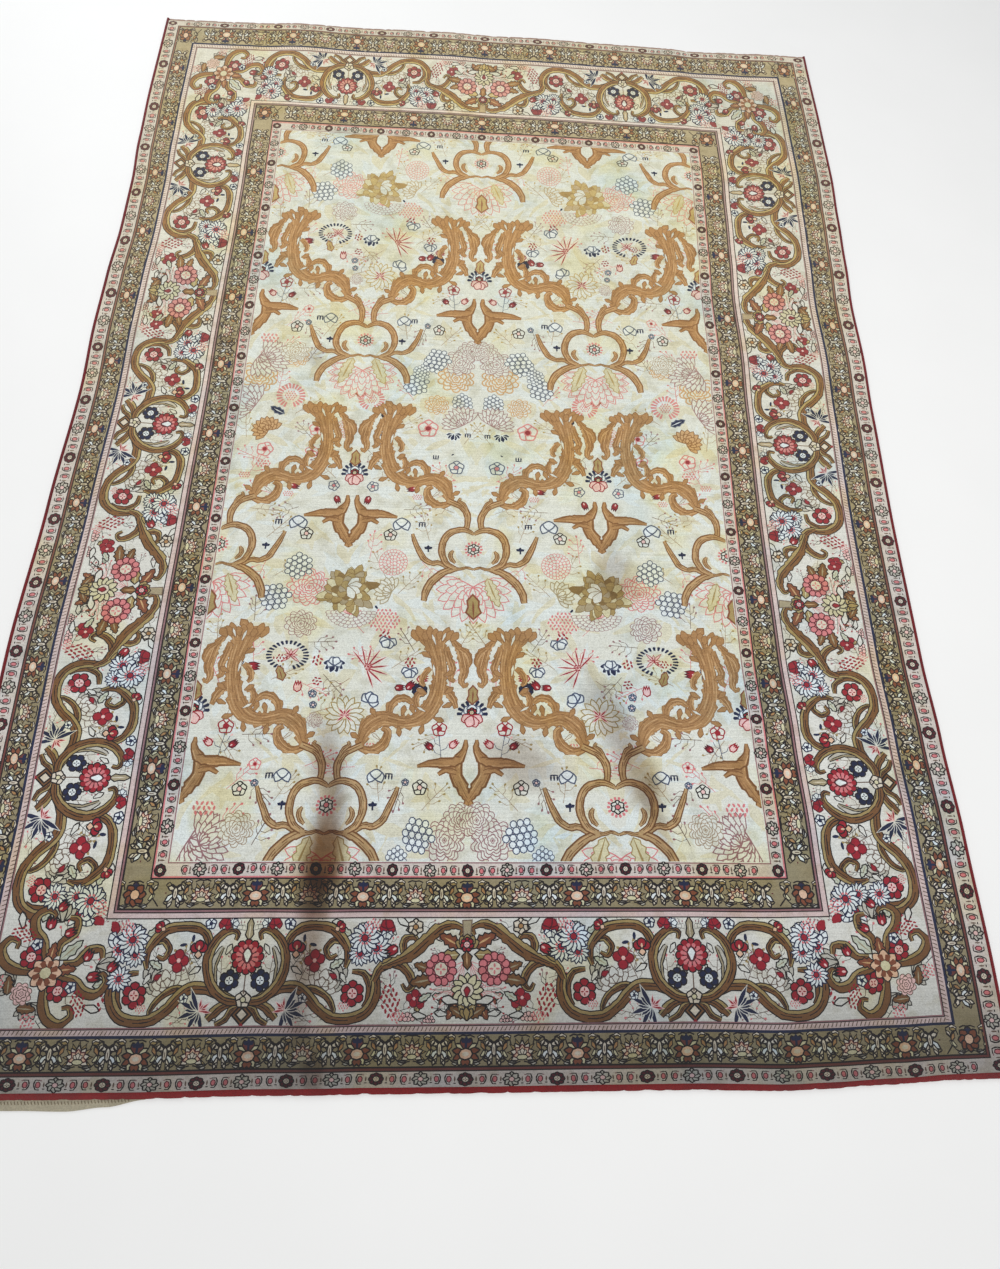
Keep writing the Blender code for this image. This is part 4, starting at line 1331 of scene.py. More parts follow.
@dataclass(frozen=True)
class RugShape:
    """The uneven rug on the floor, in millimetres, as the CAD has it."""

    half_width: float = 1260.0
    half_length: float = 1766.5
    thickness: float = 8.0
    selvedge: float = 11.0
    selvedge_height: float = 9.0
    band: float = 14.0
    gap: float = 0.3
    across: Points = field(default_factory=lambda: dots(
        (-1226, -1236), (-1088, -1109), (-731, -756), (0, -39), (731, 706), (1226, 1225)))
    upward: Points = field(default_factory=lambda: dots(
        (-1717, -1728), (-1673, -1697), (-1664, -1688), (-1604, -1626), (-1579, -1606), (-1349, -1385),
        (-1323, -1361), (-1261, -1297), (-1222, -1258), (-1100, -1128), (-367, -428), (367, 287),
        (1100, 1077),
        (1222, 1187), (1257, 1222), (1261, 1232), (1323, 1307), (1349, 1332), (1579, 1600), (1604, 1628),
        (1664, 1714), (1673, 1721), (1717, 1750)))

    def left(self, y: Points | float) -> Points:
        """Return the X of the left side, selvedge included."""
        return eased(y, SIDE_STATIONS) - self.half_width

    def right(self, y: Points | float) -> Points:
        """Return the X of the right side, selvedge included."""
        return self.half_width - eased(y, RIGHT_STATIONS)

    def near(self, x: Points | float) -> Points:
        """Return the Y of the near end, band included and tape left out."""
        return eased(x, NEAR_STATIONS) - self.half_length

    def far(self, x: Points | float) -> Points:
        """Return the Y of the far end, band included."""
        return self.half_length - eased(x, FAR_STATIONS)

    def lift(self, x: Points, y: Points) -> Points:
        """Return how far the soft ripples raise the underside."""
        height = np.zeros(np.broadcast(x, y).shape)
        for ripple in RIPPLES:
            turn = math.radians(ripple.turn)
            dx, dy = x - ripple.x, y - ripple.y
            across = 2.0 * (dx * math.cos(turn) + dy * math.sin(turn)) / ripple.width
            along = 2.0 * (dy * math.cos(turn) - dx * math.sin(turn)) / ripple.length
            bump = np.cos(0.5 * math.pi * np.clip(across, -1, 1)) ** 2
            height += ripple.rise * bump * np.cos(0.5 * math.pi * np.clip(along, -1, 1)) ** 2
        return height

    def laid(self, even: Points) -> Points:
        """Return where points of the even cartoon lie on the uneven rug."""
        x = np.interp(even[:, 0], self.across[:, 0], self.across[:, 1])
        y = np.interp(even[:, 1], self.upward[:, 0], self.upward[:, 1])
        left = self.left(y) + self.selvedge + self.gap - self.across[0, 1]
        right = self.right(y) - self.selvedge - self.gap - self.across[-1, 1]
        near = self.near(x) + self.band + self.gap - self.upward[0, 1]
        far = self.far(x) - self.band - self.gap - self.upward[-1, 1]
        aside = np.clip(even[:, 0] / RUG_HALF_WIDTH, -1.0, 1.0)
        aloft = np.clip(even[:, 1] / RUG_HALF_LENGTH, -1.0, 1.0)
        moved_x = x + np.where(aside < 0.0, left * np.abs(aside) ** 3,
                right * np.minimum(1.0, 1.36 * aside))
        moved_y = y + np.where(aloft < 0.0, near, far) * np.abs(aloft) ** 3
        return np.stack([moved_x, moved_y], 1)

    def raised(self, plan: Points, height: float) -> Points:
        """Return places in metres at a height over the rippled underside."""
        z = self.lift(plan[:, 0], plan[:, 1]) + height
        return np.column_stack([plan, z]) * MM


SHAPE = RugShape()


def inside(points: Points, outline: Points) -> Points:
    """Tell which points lie inside an outline, by its winding."""
    px, py = points[:, 0][:, None], points[:, 1][:, None]
    x0, y0 = outline[:, 0], outline[:, 1]
    x1, y1 = np.roll(x0, -1), np.roll(y0, -1)
    cross = (x1 - x0) * (py - y0) - (px - x0) * (y1 - y0)
    rising = (y0 <= py) & (y1 > py) & (cross > 0.0)
    falling = (y0 > py) & (y1 <= py) & (cross < 0.0)
    return rising.sum(1) != falling.sum(1)


@dataclass(frozen=True)
class Panel:
    """A stretch of the pile that is its own mesh, on the even rug."""

    name: str
    low: tuple[float, float]
    high: tuple[float, float]
    folds: int


END_BLOCK = FIELD_HALF_LENGTH + 127.0
FIELD_CUT = FIELD_HALF_WIDTH / 3.0
BLOCK_CUT = RUG_HALF_WIDTH / 3.0
PANELS = (
    Panel("near_border_pile", (-RUG_HALF_WIDTH, -RUG_HALF_LENGTH), (RUG_HALF_WIDTH, -END_BLOCK), 3),
    Panel("far_border_pile", (-RUG_HALF_WIDTH, END_BLOCK), (RUG_HALF_WIDTH, RUG_HALF_LENGTH), 3),
    Panel("left_border_pile", (-RUG_HALF_WIDTH, -END_BLOCK), (-FIELD_HALF_WIDTH, END_BLOCK), 2),
    Panel("right_border_pile", (FIELD_HALF_WIDTH, -END_BLOCK), (RUG_HALF_WIDTH, END_BLOCK), 2),
    Panel("left_field_pile", (-FIELD_HALF_WIDTH, -END_BLOCK), (-FIELD_CUT, END_BLOCK), 2),
    Panel("middle_field_pile", (-FIELD_CUT, -END_BLOCK), (FIELD_CUT, END_BLOCK), 2),
    Panel("right_field_pile", (FIELD_CUT, -END_BLOCK), (FIELD_HALF_WIDTH, END_BLOCK), 2),
)


def linear(dye: tuple[int, int, int]) -> tuple[float, float, float, float]:
    """Return a display colour as the linear colour that shaders read."""
    shares = [part / 255.0 for part in dye]
    made = [s / 12.92 if s <= 0.04045 else ((s + 0.055) / 1.055) ** 2.4 for s in shares]
    return made[0], made[1], made[2], 1.0


@dataclass(frozen=True)
class Pile:
    """The knotted pile, as panels cut from one triangulated cartoon."""

    grid: float = 36.0
    top: float = 8.0
    bottom: float = 3.8
    bottom_grid: float = 90.0
    tolerance: float = 1.1
    straight: float = 0.3
    margin: float = 60.0

    def frame(self, out: float) -> Points:
        """Return the rectangle at a distance out from the field's edge."""
        x, y = FIELD_HALF_WIDTH + out, FIELD_HALF_LENGTH + out
        return dots((-x, -y), (x, -y), (x, y), (-x, y))

    def kept(self, cartoon: Cartoon) -> list[int]:
        """Return the patches that reach into their zones."""
        found = []
        for index, (outline, zone) in enumerate(zip(cartoon.outlines, cartoon.zones)):
            out = np.maximum(np.abs(outline[:, 0]) - FIELD_HALF_WIDTH,
                    np.abs(outline[:, 1]) - FIELD_HALF_LENGTH)
            if out.min() < zone.value[1] and out.max() > zone.value[0]:
                found.append(index)
        return found

    def outline_edges(self, cartoon: Cartoon, kept: Sequence[int]) -> tuple[Points, np.ndarray]:
        """Return the points of some outlines, and the two ends of each piece."""
        counts = [len(cartoon.outlines[index]) for index in kept]
        edges = []
        for first, count in zip(np.cumsum([0] + counts), counts):
            own = np.arange(count) + first
            edges.append(np.stack([own, np.roll(own, -1)], 1))
        return np.concatenate([cartoon.outlines[index] for index in kept]), np.concatenate(edges)

    def yarn_lines(self, points: Points, corners: np.ndarray, yarns: np.ndarray) -> np.ndarray:
        """Return the sides of triangles that part two different yarns.

        Args:
            points: The corner points.
            corners: The corners of each triangle.
            yarns: The yarn of each triangle.

        Returns:
            The two ends of each side, with needless points left out.
        """
        half = np.concatenate([corners[:, (0, 1)], corners[:, (1, 2)], corners[:, (2, 0)]])
        key = half.min(1).astype(np.int64) * len(points) + half.max(1)
        order = np.argsort(key, kind="stable")
        key, tint = key[order], np.tile(yarns, 3)[order]
        key = key[1:][(key[1:] == key[:-1]) & (tint[1:] != tint[:-1])]
        ends = np.stack([key // len(points), key % len(points)], 1)
        for _ in range(4):
            both = np.concatenate([ends, ends[:, ::-1]])
            both = both[np.argsort(both[:, 0], kind="stable")]
            at = np.nonzero(np.bincount(both[:, 0], minlength=len(points)) == 2)[0]
            first = np.searchsorted(both[:, 0], at)
            a, b = both[first, 1], both[first + 1, 1]
            chord, own = points[b] - points[a], points[at] - points[a]
            bend = np.abs(chord[:, 0] * own[:, 1] - chord[:, 1] * own[:, 0])
            flat = bend < self.straight * np.linalg.norm(chord, axis=1)
            dropped = np.zeros(len(points), bool)
            dropped[at[flat]] = True
            flat &= ~(dropped[a] & (a < at)) & ~(dropped[b] & (b < at))
            gone = np.zeros(len(points), bool)
            gone[at[flat]] = True
            ends = np.concatenate([ends[~gone[ends].any(1)], np.stack([a[flat], b[flat]], 1)])
        return ends

    def triangulate(
        self, points: Points, edges: np.ndarray, lines: Sequence[Points], low: Points, high: Points,
        loose: Points | None = None,
    ) -> tuple[Points, np.ndarray]:
        """Cut one rectangle of the rug into triangles along every line.

        Args:
            points: The points of the outlines.
            edges: The pieces of the outlines, as pairs of points.
            lines: Further closed lines, such as the panels' edges.
            low: The rectangle's lower corner.
            high: The rectangle's upper corner.
            loose: Points that become corners without being on a line.

        Returns:
            The corner points and the corners of each triangle.
        """
        ends = points[edges]
        edges = edges[np.all((ends.max(1) > low - 1.0) & (ends.min(1) < high + 1.0), axis=1)]
        used, local = np.unique(edges, return_inverse=True)
        every, ends, count = [points[used]], [local.reshape(-1, 2)], len(used)
        for line in lines:
            own = np.arange(len(line)) + count
            every.append(line)
            ends.append(np.stack([own, np.roll(own, -1)], 1))
            count += len(line)
        if loose is not None:
            every.append(loose)
        places = [Vector(p) for p in np.concatenate(every)]
        made = delaunay_2d_cdt(places, np.concatenate(ends).tolist(), [], 0, 1e-3, False)
        points, corners = np.array([tuple(p) for p in made[0]]), np.array(made[2])
        p = points[corners]
        area = np.cross(p[:, 1] - p[:, 0], p[:, 2] - p[:, 0])
        corners[area < 0.0] = corners[area < 0.0][:, ::-1]
        centres = p.mean(1)
        return points, corners[np.all((centres > low) & (centres < high), axis=1) & (np.abs(area) > 1e-4)]

    def paint(self, cartoon: Cartoon, kept: Sequence[int], centres: Points) -> np.ndarray:
        """Return which yarn lies on top at each place, as its index."""
        palette = {yarn: index for index, yarn in enumerate(Yarn)}
        order = np.argsort(centres[:, 1])
        ordered = centres[order]
        out = np.maximum(np.abs(ordered[:, 0]) - FIELD_HALF_WIDTH,
                np.abs(ordered[:, 1]) - FIELD_HALF_LENGTH)
        ground = np.full(len(ordered), palette[Yarn.FIELD_IVORY])
        for stripe in STRIPES:
            ground[out < stripe.out] = palette[stripe.yarn]
        owner = np.full(len(ordered), -1)
        for index in reversed(kept):
            outline = cartoon.outlines[index]
            low, high = outline.min(0), outline.max(0)
            first, last = np.searchsorted(ordered[:, 1], (low[1], high[1]))
            xs = ordered[first:last, 0]
            zone = cartoon.zones[index].value
            depth = out[first:last]
            near = (owner[first:last] < 0) & (xs > low[0]) & (xs < high[0]) & (depth > zone[0]) & (
                    depth < zone[1])
            near = np.nonzero(near)[0] + first
            if len(near):
                owner[near[inside(ordered[near], outline)]] = palette[cartoon.yarns[index]]
        owner = np.where(owner < 0, ground, owner)
        result = np.empty_like(owner)
        result[order] = owner
        return result

    def build(self, cartoon: Cartoon) -> list[bpy.types.Object]:
        """Make every panel of the pile.

        Args:
            cartoon: The whole design.

        Returns:
            The panels' objects, not yet dressed.
        """
        cartoon.simplified(self.tolerance)
        kept = np.array(self.kept(cartoon))
        lows = np.array([cartoon.outlines[index].min(0) for index in kept])
        highs = np.array([cartoon.outlines[index].max(0) for index in kept])
        lines = [self.frame(stripe.out) for stripe in STRIPES]
        lines += [self.frame(limit) for zone in Zone for limit in zone.value if abs(limit) < 500.0]
        lines += [dots((x, -RUG_HALF_LENGTH), (x, RUG_HALF_LENGTH)) for x in (-BLOCK_CUT, BLOCK_CUT)]
        lines += [dots((-RUG_HALF_WIDTH, y), (RUG_HALF_WIDTH, y)) for y in (-END_BLOCK, 0.0, END_BLOCK)]
        for x in (-FIELD_HALF_WIDTH, -FIELD_CUT, FIELD_CUT, FIELD_HALF_WIDTH):
            lines.append(dots((x, -END_BLOCK), (x, END_BLOCK)))
        xs = np.arange(-RUG_HALF_WIDTH + 0.5 * self.grid, RUG_HALF_WIDTH, self.grid)
        ys = np.arange(-RUG_HALF_LENGTH + 0.5 * self.grid, RUG_HALF_LENGTH, self.grid)
        blocks = [dots(s.low, (s.high[0], s.low[1]), s.high, (s.low[0], s.high[1])) for s in PANELS]
        spread = [np.stack(np.meshgrid(xs, ys), -1).reshape(-1, 2)]
        for frame in [self.frame(stripe.out) for stripe in STRIPES] + blocks:
            low, high = frame.min(0), frame.max(0)
            own_xs, own_ys = xs[(xs > low[0]) & (xs < high[0])], ys[(ys > low[1]) & (ys < high[1])]
            spread += [np.stack([own_xs, np.full(len(own_xs), y)], 1) for y in (low[1], high[1])]
            spread += [np.stack([np.full(len(own_ys), x), own_ys], 1) for x in (low[0], high[0])]
        grid = np.concatenate(spread)
        made = []
        for spec in PANELS:
            low, high = np.array(spec.low), np.array(spec.high)
            own = kept[np.all((highs > low - self.margin) & (lows < high + self.margin), axis=1)].tolist()
            points, edges = self.outline_edges(cartoon, own)
            points, corners = self.triangulate(points, edges, lines, low, high)
            yarns = self.paint(cartoon, own, points[corners].mean(1))
            near = grid[np.all((grid > low - 0.01) & (grid < high + 0.01), axis=1)]
            edges = self.yarn_lines(points, corners, yarns)
            points, corners = self.triangulate(points, edges, blocks, low, high, near)
            made.append(self.panel(spec, points, corners,
                    self.paint(cartoon, own, points[corners].mean(1))))
        return made

    def panel(
        self, spec: Panel, points: Points, corners: np.ndarray, yarns: np.ndarray
    ) -> bpy.types.Object:
        """Make one closed panel: its top, its sides and a coarse underside."""
        used, local = np.unique(corners, return_inverse=True)
        top_faces = local.reshape(-1, 3)
        even = points[used]
        plan = SHAPE.laid(even)
        loop = self.boundary(even, spec)
        count = len(used)
        below_even, below_faces = self.underside(even[loop], spec)
        vertices = np.concatenate([
            SHAPE.raised(plan, self.top), SHAPE.raised(SHAPE.laid(below_even), self.bottom)])
        rim = len(loop)
        low_rim = count + np.arange(rim)
        ahead = np.roll(np.arange(rim), -1)
        sides = np.stack([loop, low_rim, low_rim[ahead]], 1)
        sides = np.concatenate([sides, np.stack([loop, low_rim[ahead], loop[ahead]], 1)])
        faces = np.concatenate([top_faces, sides, below_faces[:, ::-1] + count])
        mesh = bpy.data.meshes.new(spec.name)
        mesh.from_pydata(vertices.tolist(), [], faces.tolist())
        tint = np.concatenate([yarns, np.full(len(faces) - len(top_faces), list(Yarn).index(Yarn.STRAW))])
        # Each face carries its yarn's near colour, darkened by painted shade, and its far colour, lightened
        # by painted light.
        for label in ("near", "far"):
            colours = np.array([linear(getattr(yarn.value, label)) for yarn in Yarn])
            layer = mesh.color_attributes.new(f"yarn_{label}", "FLOAT_COLOR", "CORNER")
            layer.data.foreach_set("color", np.repeat(colours[tint], 3, axis=0).ravel())
        self.bake_map(mesh, spec, even, below_even, faces, len(top_faces), count, loop)
        mesh.update()
        piece = bpy.data.objects.new(spec.name, mesh)
        bpy.context.scene.collection.objects.link(piece)
        LOG.info("%s: %d faces", spec.name, len(faces))
        return piece

    def boundary(self, places: Points, spec: Panel) -> np.ndarray:
        """Return the points on a panel's four edges, counterclockwise."""
        low, high = np.array(spec.low), np.array(spec.high)
        share = (places - low) / (high - low)
        down, up = np.abs(places - low) < 0.01, np.abs(places - high) < 0.01
        turn = np.where(down[:, 1], share[:, 0], np.where(
            up[:, 0], 1.0 + share[:, 1], np.where(up[:, 1], 3.0 - share[:, 0], 4.0 - share[:, 1])))
        edge = np.nonzero(np.any(down | up, axis=1))[0]
        return edge[np.argsort(turn[edge])]

    def underside(self, rim: Points, spec: Panel) -> tuple[Points, np.ndarray]:
        """Return the points and faces of a coarse underside inside a rim."""
        xs = np.arange(spec.low[0] + 40.0, spec.high[0] - 30.0, self.bottom_grid)
        ys = np.arange(spec.low[1] + 40.0, spec.high[1] - 30.0, self.bottom_grid)
        middle = np.stack(np.meshgrid(xs, ys), -1).reshape(-1, 2)
        points = np.concatenate([rim, middle])
        ahead = np.roll(np.arange(len(rim)), -1)
        edges = np.stack([np.arange(len(rim)), ahead], 1).tolist()
        made = delaunay_2d_cdt([Vector(p) for p in points], edges, [], 1, 1e-5, False)
        faces = np.array(made[2])
        p = points[faces]
        area = np.cross(p[:, 1] - p[:, 0], p[:, 2] - p[:, 0])
        faces[area < 0.0] = faces[area < 0.0][:, ::-1]
        return points, faces

    def bake_map(
        self, mesh: bpy.types.Mesh, spec: Panel, even: Points, below: Points, faces: np.ndarray,
        top_count: int, above: int, loop: np.ndarray,
    ) -> None:
        """Lay the panel out flat for baking, its long top folded into strips."""
        low, high = np.array(spec.low), np.array(spec.high)
        size = high - low
        long = int(size[1] > size[0])
        length, width = size[long] / spec.folds, size[1 - long]
        gutter = 8.0
        scale = 1.0 / max((length + 2.0 * gutter), (spec.folds * (width + gutter) + gutter) / 0.92)
        corner = even[faces[:top_count]]
        along = corner[:, :, long] - low[long]
        strip = np.floor(along.mean(1) / length)[:, None]
        u = (along - strip * length + gutter) * scale
        v = (corner[:, :, 1 - long] - low[1 - long] + gutter + strip * (width + gutter)) * scale
        top = np.stack([u, v], 2).reshape(-1, 2)
        middle = 0.5 * (low + high)
        box = np.array([0.9, 0.05]) if long == 0 else np.array([0.05, 0.9])
        share = (below - middle) / size
        if long == 1:
            share = share[:, ::-1] * (-1.0, 1.0)
            box = box[::-1]
        lower = share * box + (0.5, 0.962)
        rim = share[: len(loop)] * (box + (0.02, 0.012)) + (0.5, 0.962)
        place = np.zeros((above, 2))
        place[loop] = rim
        every = np.concatenate([place, lower])
        rest = every[faces[top_count:].ravel()]
        layer = mesh.uv_layers.new(name=BAKE_MAP)
        layer.data.foreach_set("uv", np.concatenate([top, rest]).ravel())


class Graph:
    """Adds nodes and links to one node tree."""

    def __init__(self, tree: bpy.types.NodeTree) -> None:
        """Work on a tree."""
        self.tree = tree

    def add(self, kind: str, values: dict[object, object] | None = None,
            **settings: object) -> bpy.types.Node:
        """Add one node.

        Args:
            kind: The node's type.
            values: For each input, by name or place, its value or a link.
            settings: The node's own settings.

        Returns:
            The new node.
        """
        made = self.tree.nodes.new(kind)
        for name, value in settings.items():
            setattr(made, name, value)
        for key, value in (values or {}).items():
            socket = made.inputs[key]
            if isinstance(value, bpy.types.NodeSocket):
                self.tree.links.new(value, socket)
            else:
                socket.default_value = value
        return made

    def math(self, operation: str, *values: object) -> bpy.types.NodeSocket:
        """Add a Math node and return its result."""
        return self.add("ShaderNodeMath", dict(enumerate(values)), operation=operation).outputs[0]

    def mix(self, blend: str, factor: object, a: object, b: object) -> bpy.types.NodeSocket:
        """Add a colour Mix node and return its result."""
        values = {0: factor, 6: a, 7: b}
        return self.add("ShaderNodeMix", values, data_type="RGBA", blend_type=blend).outputs[2]


def socketed(name: str, kind: str, inputs: dict[str, object], outputs: dict[str, str]) -> Graph:
    """Start a node group.

    Args:
        name: The group's name.
        kind: ShaderNodeTree or GeometryNodeTree.
        inputs: For each input its default, whose type gives the socket's.
        outputs: For each output its socket type.

    Returns:
        The graph of the new group, with Group Input and Group Output nodes.
    """
    tree = bpy.data.node_groups.new(name, kind)
    for label, default in inputs.items():
        if default is None or isinstance(default, bpy.types.Material):
            socket = "NodeSocketMaterial" if isinstance(default,
                    bpy.types.Material) else "NodeSocketGeometry"
        elif isinstance(default, int):
            socket = "NodeSocketInt"
        elif isinstance(default, float):
            socket = "NodeSocketFloat"
        else:
            socket = "NodeSocketVector" if len(default) == 3 else "NodeSocketColor"
        item = tree.interface.new_socket(label, in_out="INPUT", socket_type=socket)
        if default is not None:
            item.default_value = default
    for label, socket in outputs.items():
        tree.interface.new_socket(label, in_out="OUTPUT", socket_type=socket)
    return Graph(tree)


class WoolGroups:
    """The shader groups that the rug's materials share, each built once."""

    @staticmethod
    def yarn_unevenness() -> bpy.types.NodeTree:
        """Return the group that streaks and flecks a colour as dyed yarn is.

        Returns:
            A group with a colour and the sizes of its streaks and flecks
            coming in, and a colour and a height going out.
        """
        name = "yarn unevenness"
        if name in bpy.data.node_groups:
            return bpy.data.node_groups[name]
        inputs = {"Colour": (0.5, 0.5, 0.5, 1.0), "Streaks": (3.0, 260.0, 3.0), "Streak Amount": 0.1,
                  "Fleck Scale": 330.0, "Fleck Amount": 0.16, "Cloud Amount": 0.05}
        graph = socketed(name, "ShaderNodeTree", inputs,
                {"Colour": "NodeSocketColor", "Height": "NodeSocketFloat"})
        given = graph.add("NodeGroupInput").outputs
        place = graph.add("ShaderNodeTexCoord").outputs["Object"]
        stretched = graph.add("ShaderNodeVectorMath", {0: place, 1: given["Streaks"]},
                operation="MULTIPLY").outputs[0]
        streak = graph.add("ShaderNodeTexNoise", {"Vector": stretched, "Scale": 1.0,
                "Detail": 2.0}).outputs["Fac"]
        fleck = graph.add(
            "ShaderNodeTexNoise", {"Vector": place, "Scale": given["Fleck Scale"],
                "Detail": 1.0}).outputs["Fac"]
        cloud = graph.add("ShaderNodeTexNoise", {"Vector": place, "Scale": 2.6,
                "Detail": 3.0}).outputs["Fac"]
        value = 1.0
        for texture, amount in ((streak, "Streak Amount"), (fleck, "Fleck Amount"),
                (cloud, "Cloud Amount")):
            centred = graph.math("SUBTRACT", texture, 0.5)
            swing = graph.math("MULTIPLY", centred, graph.math("MULTIPLY", given[amount], 4.0))
            value = graph.math("ADD", value, swing)
        tinted = graph.add("ShaderNodeVectorMath", {0: given["Colour"], "Scale": value},
                operation="SCALE").outputs[0]
        height = graph.math("MULTIPLY_ADD", streak, 0.6, fleck)
        graph.add("NodeGroupOutput", {"Colour": tinted, "Height": height})
        return graph.tree

    @staticmethod
    def soft_patch() -> bpy.types.NodeTree:
        """Return the group that masks one soft uneven oval on the rug."""
        name = "soft patch"
        if name in bpy.data.node_groups:
            return bpy.data.node_groups[name]
        inputs = {"Middle": (0.0, 0.0, 0.0), "Size": (1.0, 1.0, 1.0), "Turn": 0.0, "Strength": 1.0}
        graph = socketed(name, "ShaderNodeTree", inputs, {"Mask": "NodeSocketFloat"})
        given = graph.add("NodeGroupInput").outputs
        place = graph.add("ShaderNodeTexCoord").outputs["Object"]
        moved = graph.add("ShaderNodeVectorMath", {0: place, 1: given["Middle"]},
                operation="SUBTRACT").outputs[0]
        turned_place = graph.add(
            "ShaderNodeVectorRotate", {"Vector": moved, "Angle": given["Turn"]},
            rotation_type="Z_AXIS").outputs[0]
        flat = graph.add("ShaderNodeVectorMath", {0: turned_place, 1: (1.0, 1.0, 0.0)},
                operation="MULTIPLY").outputs[0]
        sized = graph.add("ShaderNodeVectorMath", {0: flat, 1: given["Size"]},
                operation="DIVIDE").outputs[0]
        reach = graph.add("ShaderNodeVectorMath", {0: sized}, operation="LENGTH").outputs["Value"]
        noise = graph.add("ShaderNodeTexNoise", {"Vector": place, "Scale": 9.0,
                "Detail": 3.0}).outputs["Fac"]
        rough = graph.math("MULTIPLY_ADD", noise, 0.9, graph.math("SUBTRACT", reach, 0.45))
        values = {"Value": rough, "From Min": 1.0, "From Max": 0.2}
        mask = graph.add("ShaderNodeMapRange", values, interpolation_type="SMOOTHSTEP").outputs[0]
        graph.add("NodeGroupOutput", {"Mask": graph.math("MULTIPLY", mask, given["Strength"])})
        return graph.tree


@dataclass(frozen=True)
class StainAndShade:
    """A soft darker or yellower patch on the pile, in metres. The table holds stains and patches of painted
    shade along the soft ripples.
    """

    x: float
    y: float
    half_width: float
    half_length: float
    turn: float
    strength: float


# The patches along x of -0.4 and of 0.38 to 0.44 at the near end lie on the soft ripples there and are
# painted shade of those ripples mixed with soil; the others darken the pile in soft spots.
STAINS_AND_SHADE = (
    StainAndShade(-0.395, -1.24, 0.075, 0.18, 0.1, 1.0),
    StainAndShade(-0.411, -1.45, 0.06, 0.3, 0.05, 0.7),
    StainAndShade(-0.4, -1.04, 0.07, 0.2, -0.1, 0.6),
    StainAndShade(0.1, -1.02, 0.16, 0.09, 0.3, 0.45),
    StainAndShade(0.36, -0.5, 0.09, 0.13, 0.0, 0.4),
    StainAndShade(-0.376, -1.7, 0.035, 0.06, 0.0, 0.6),
    StainAndShade(0.38, -1.0, 0.07, 0.28, -0.45, 0.6),
    StainAndShade(0.44, -1.16, 0.04, 0.14, -0.3, 0.3),
    StainAndShade(-0.83, 0.262, 0.05, 0.05, 0.0, 0.35),
    StainAndShade(-0.551, 0.212, 0.04, 0.05, 0.0, 0.3),
)


def new_material(name: str) -> tuple[bpy.types.Material, Graph, bpy.types.Node]:
    """Return a new material, its graph and its Principled shader."""
    made = bpy.data.materials.new(name)
    made.use_nodes = True
    return made, Graph(made.node_tree), made.node_tree.nodes["Principled BSDF"]


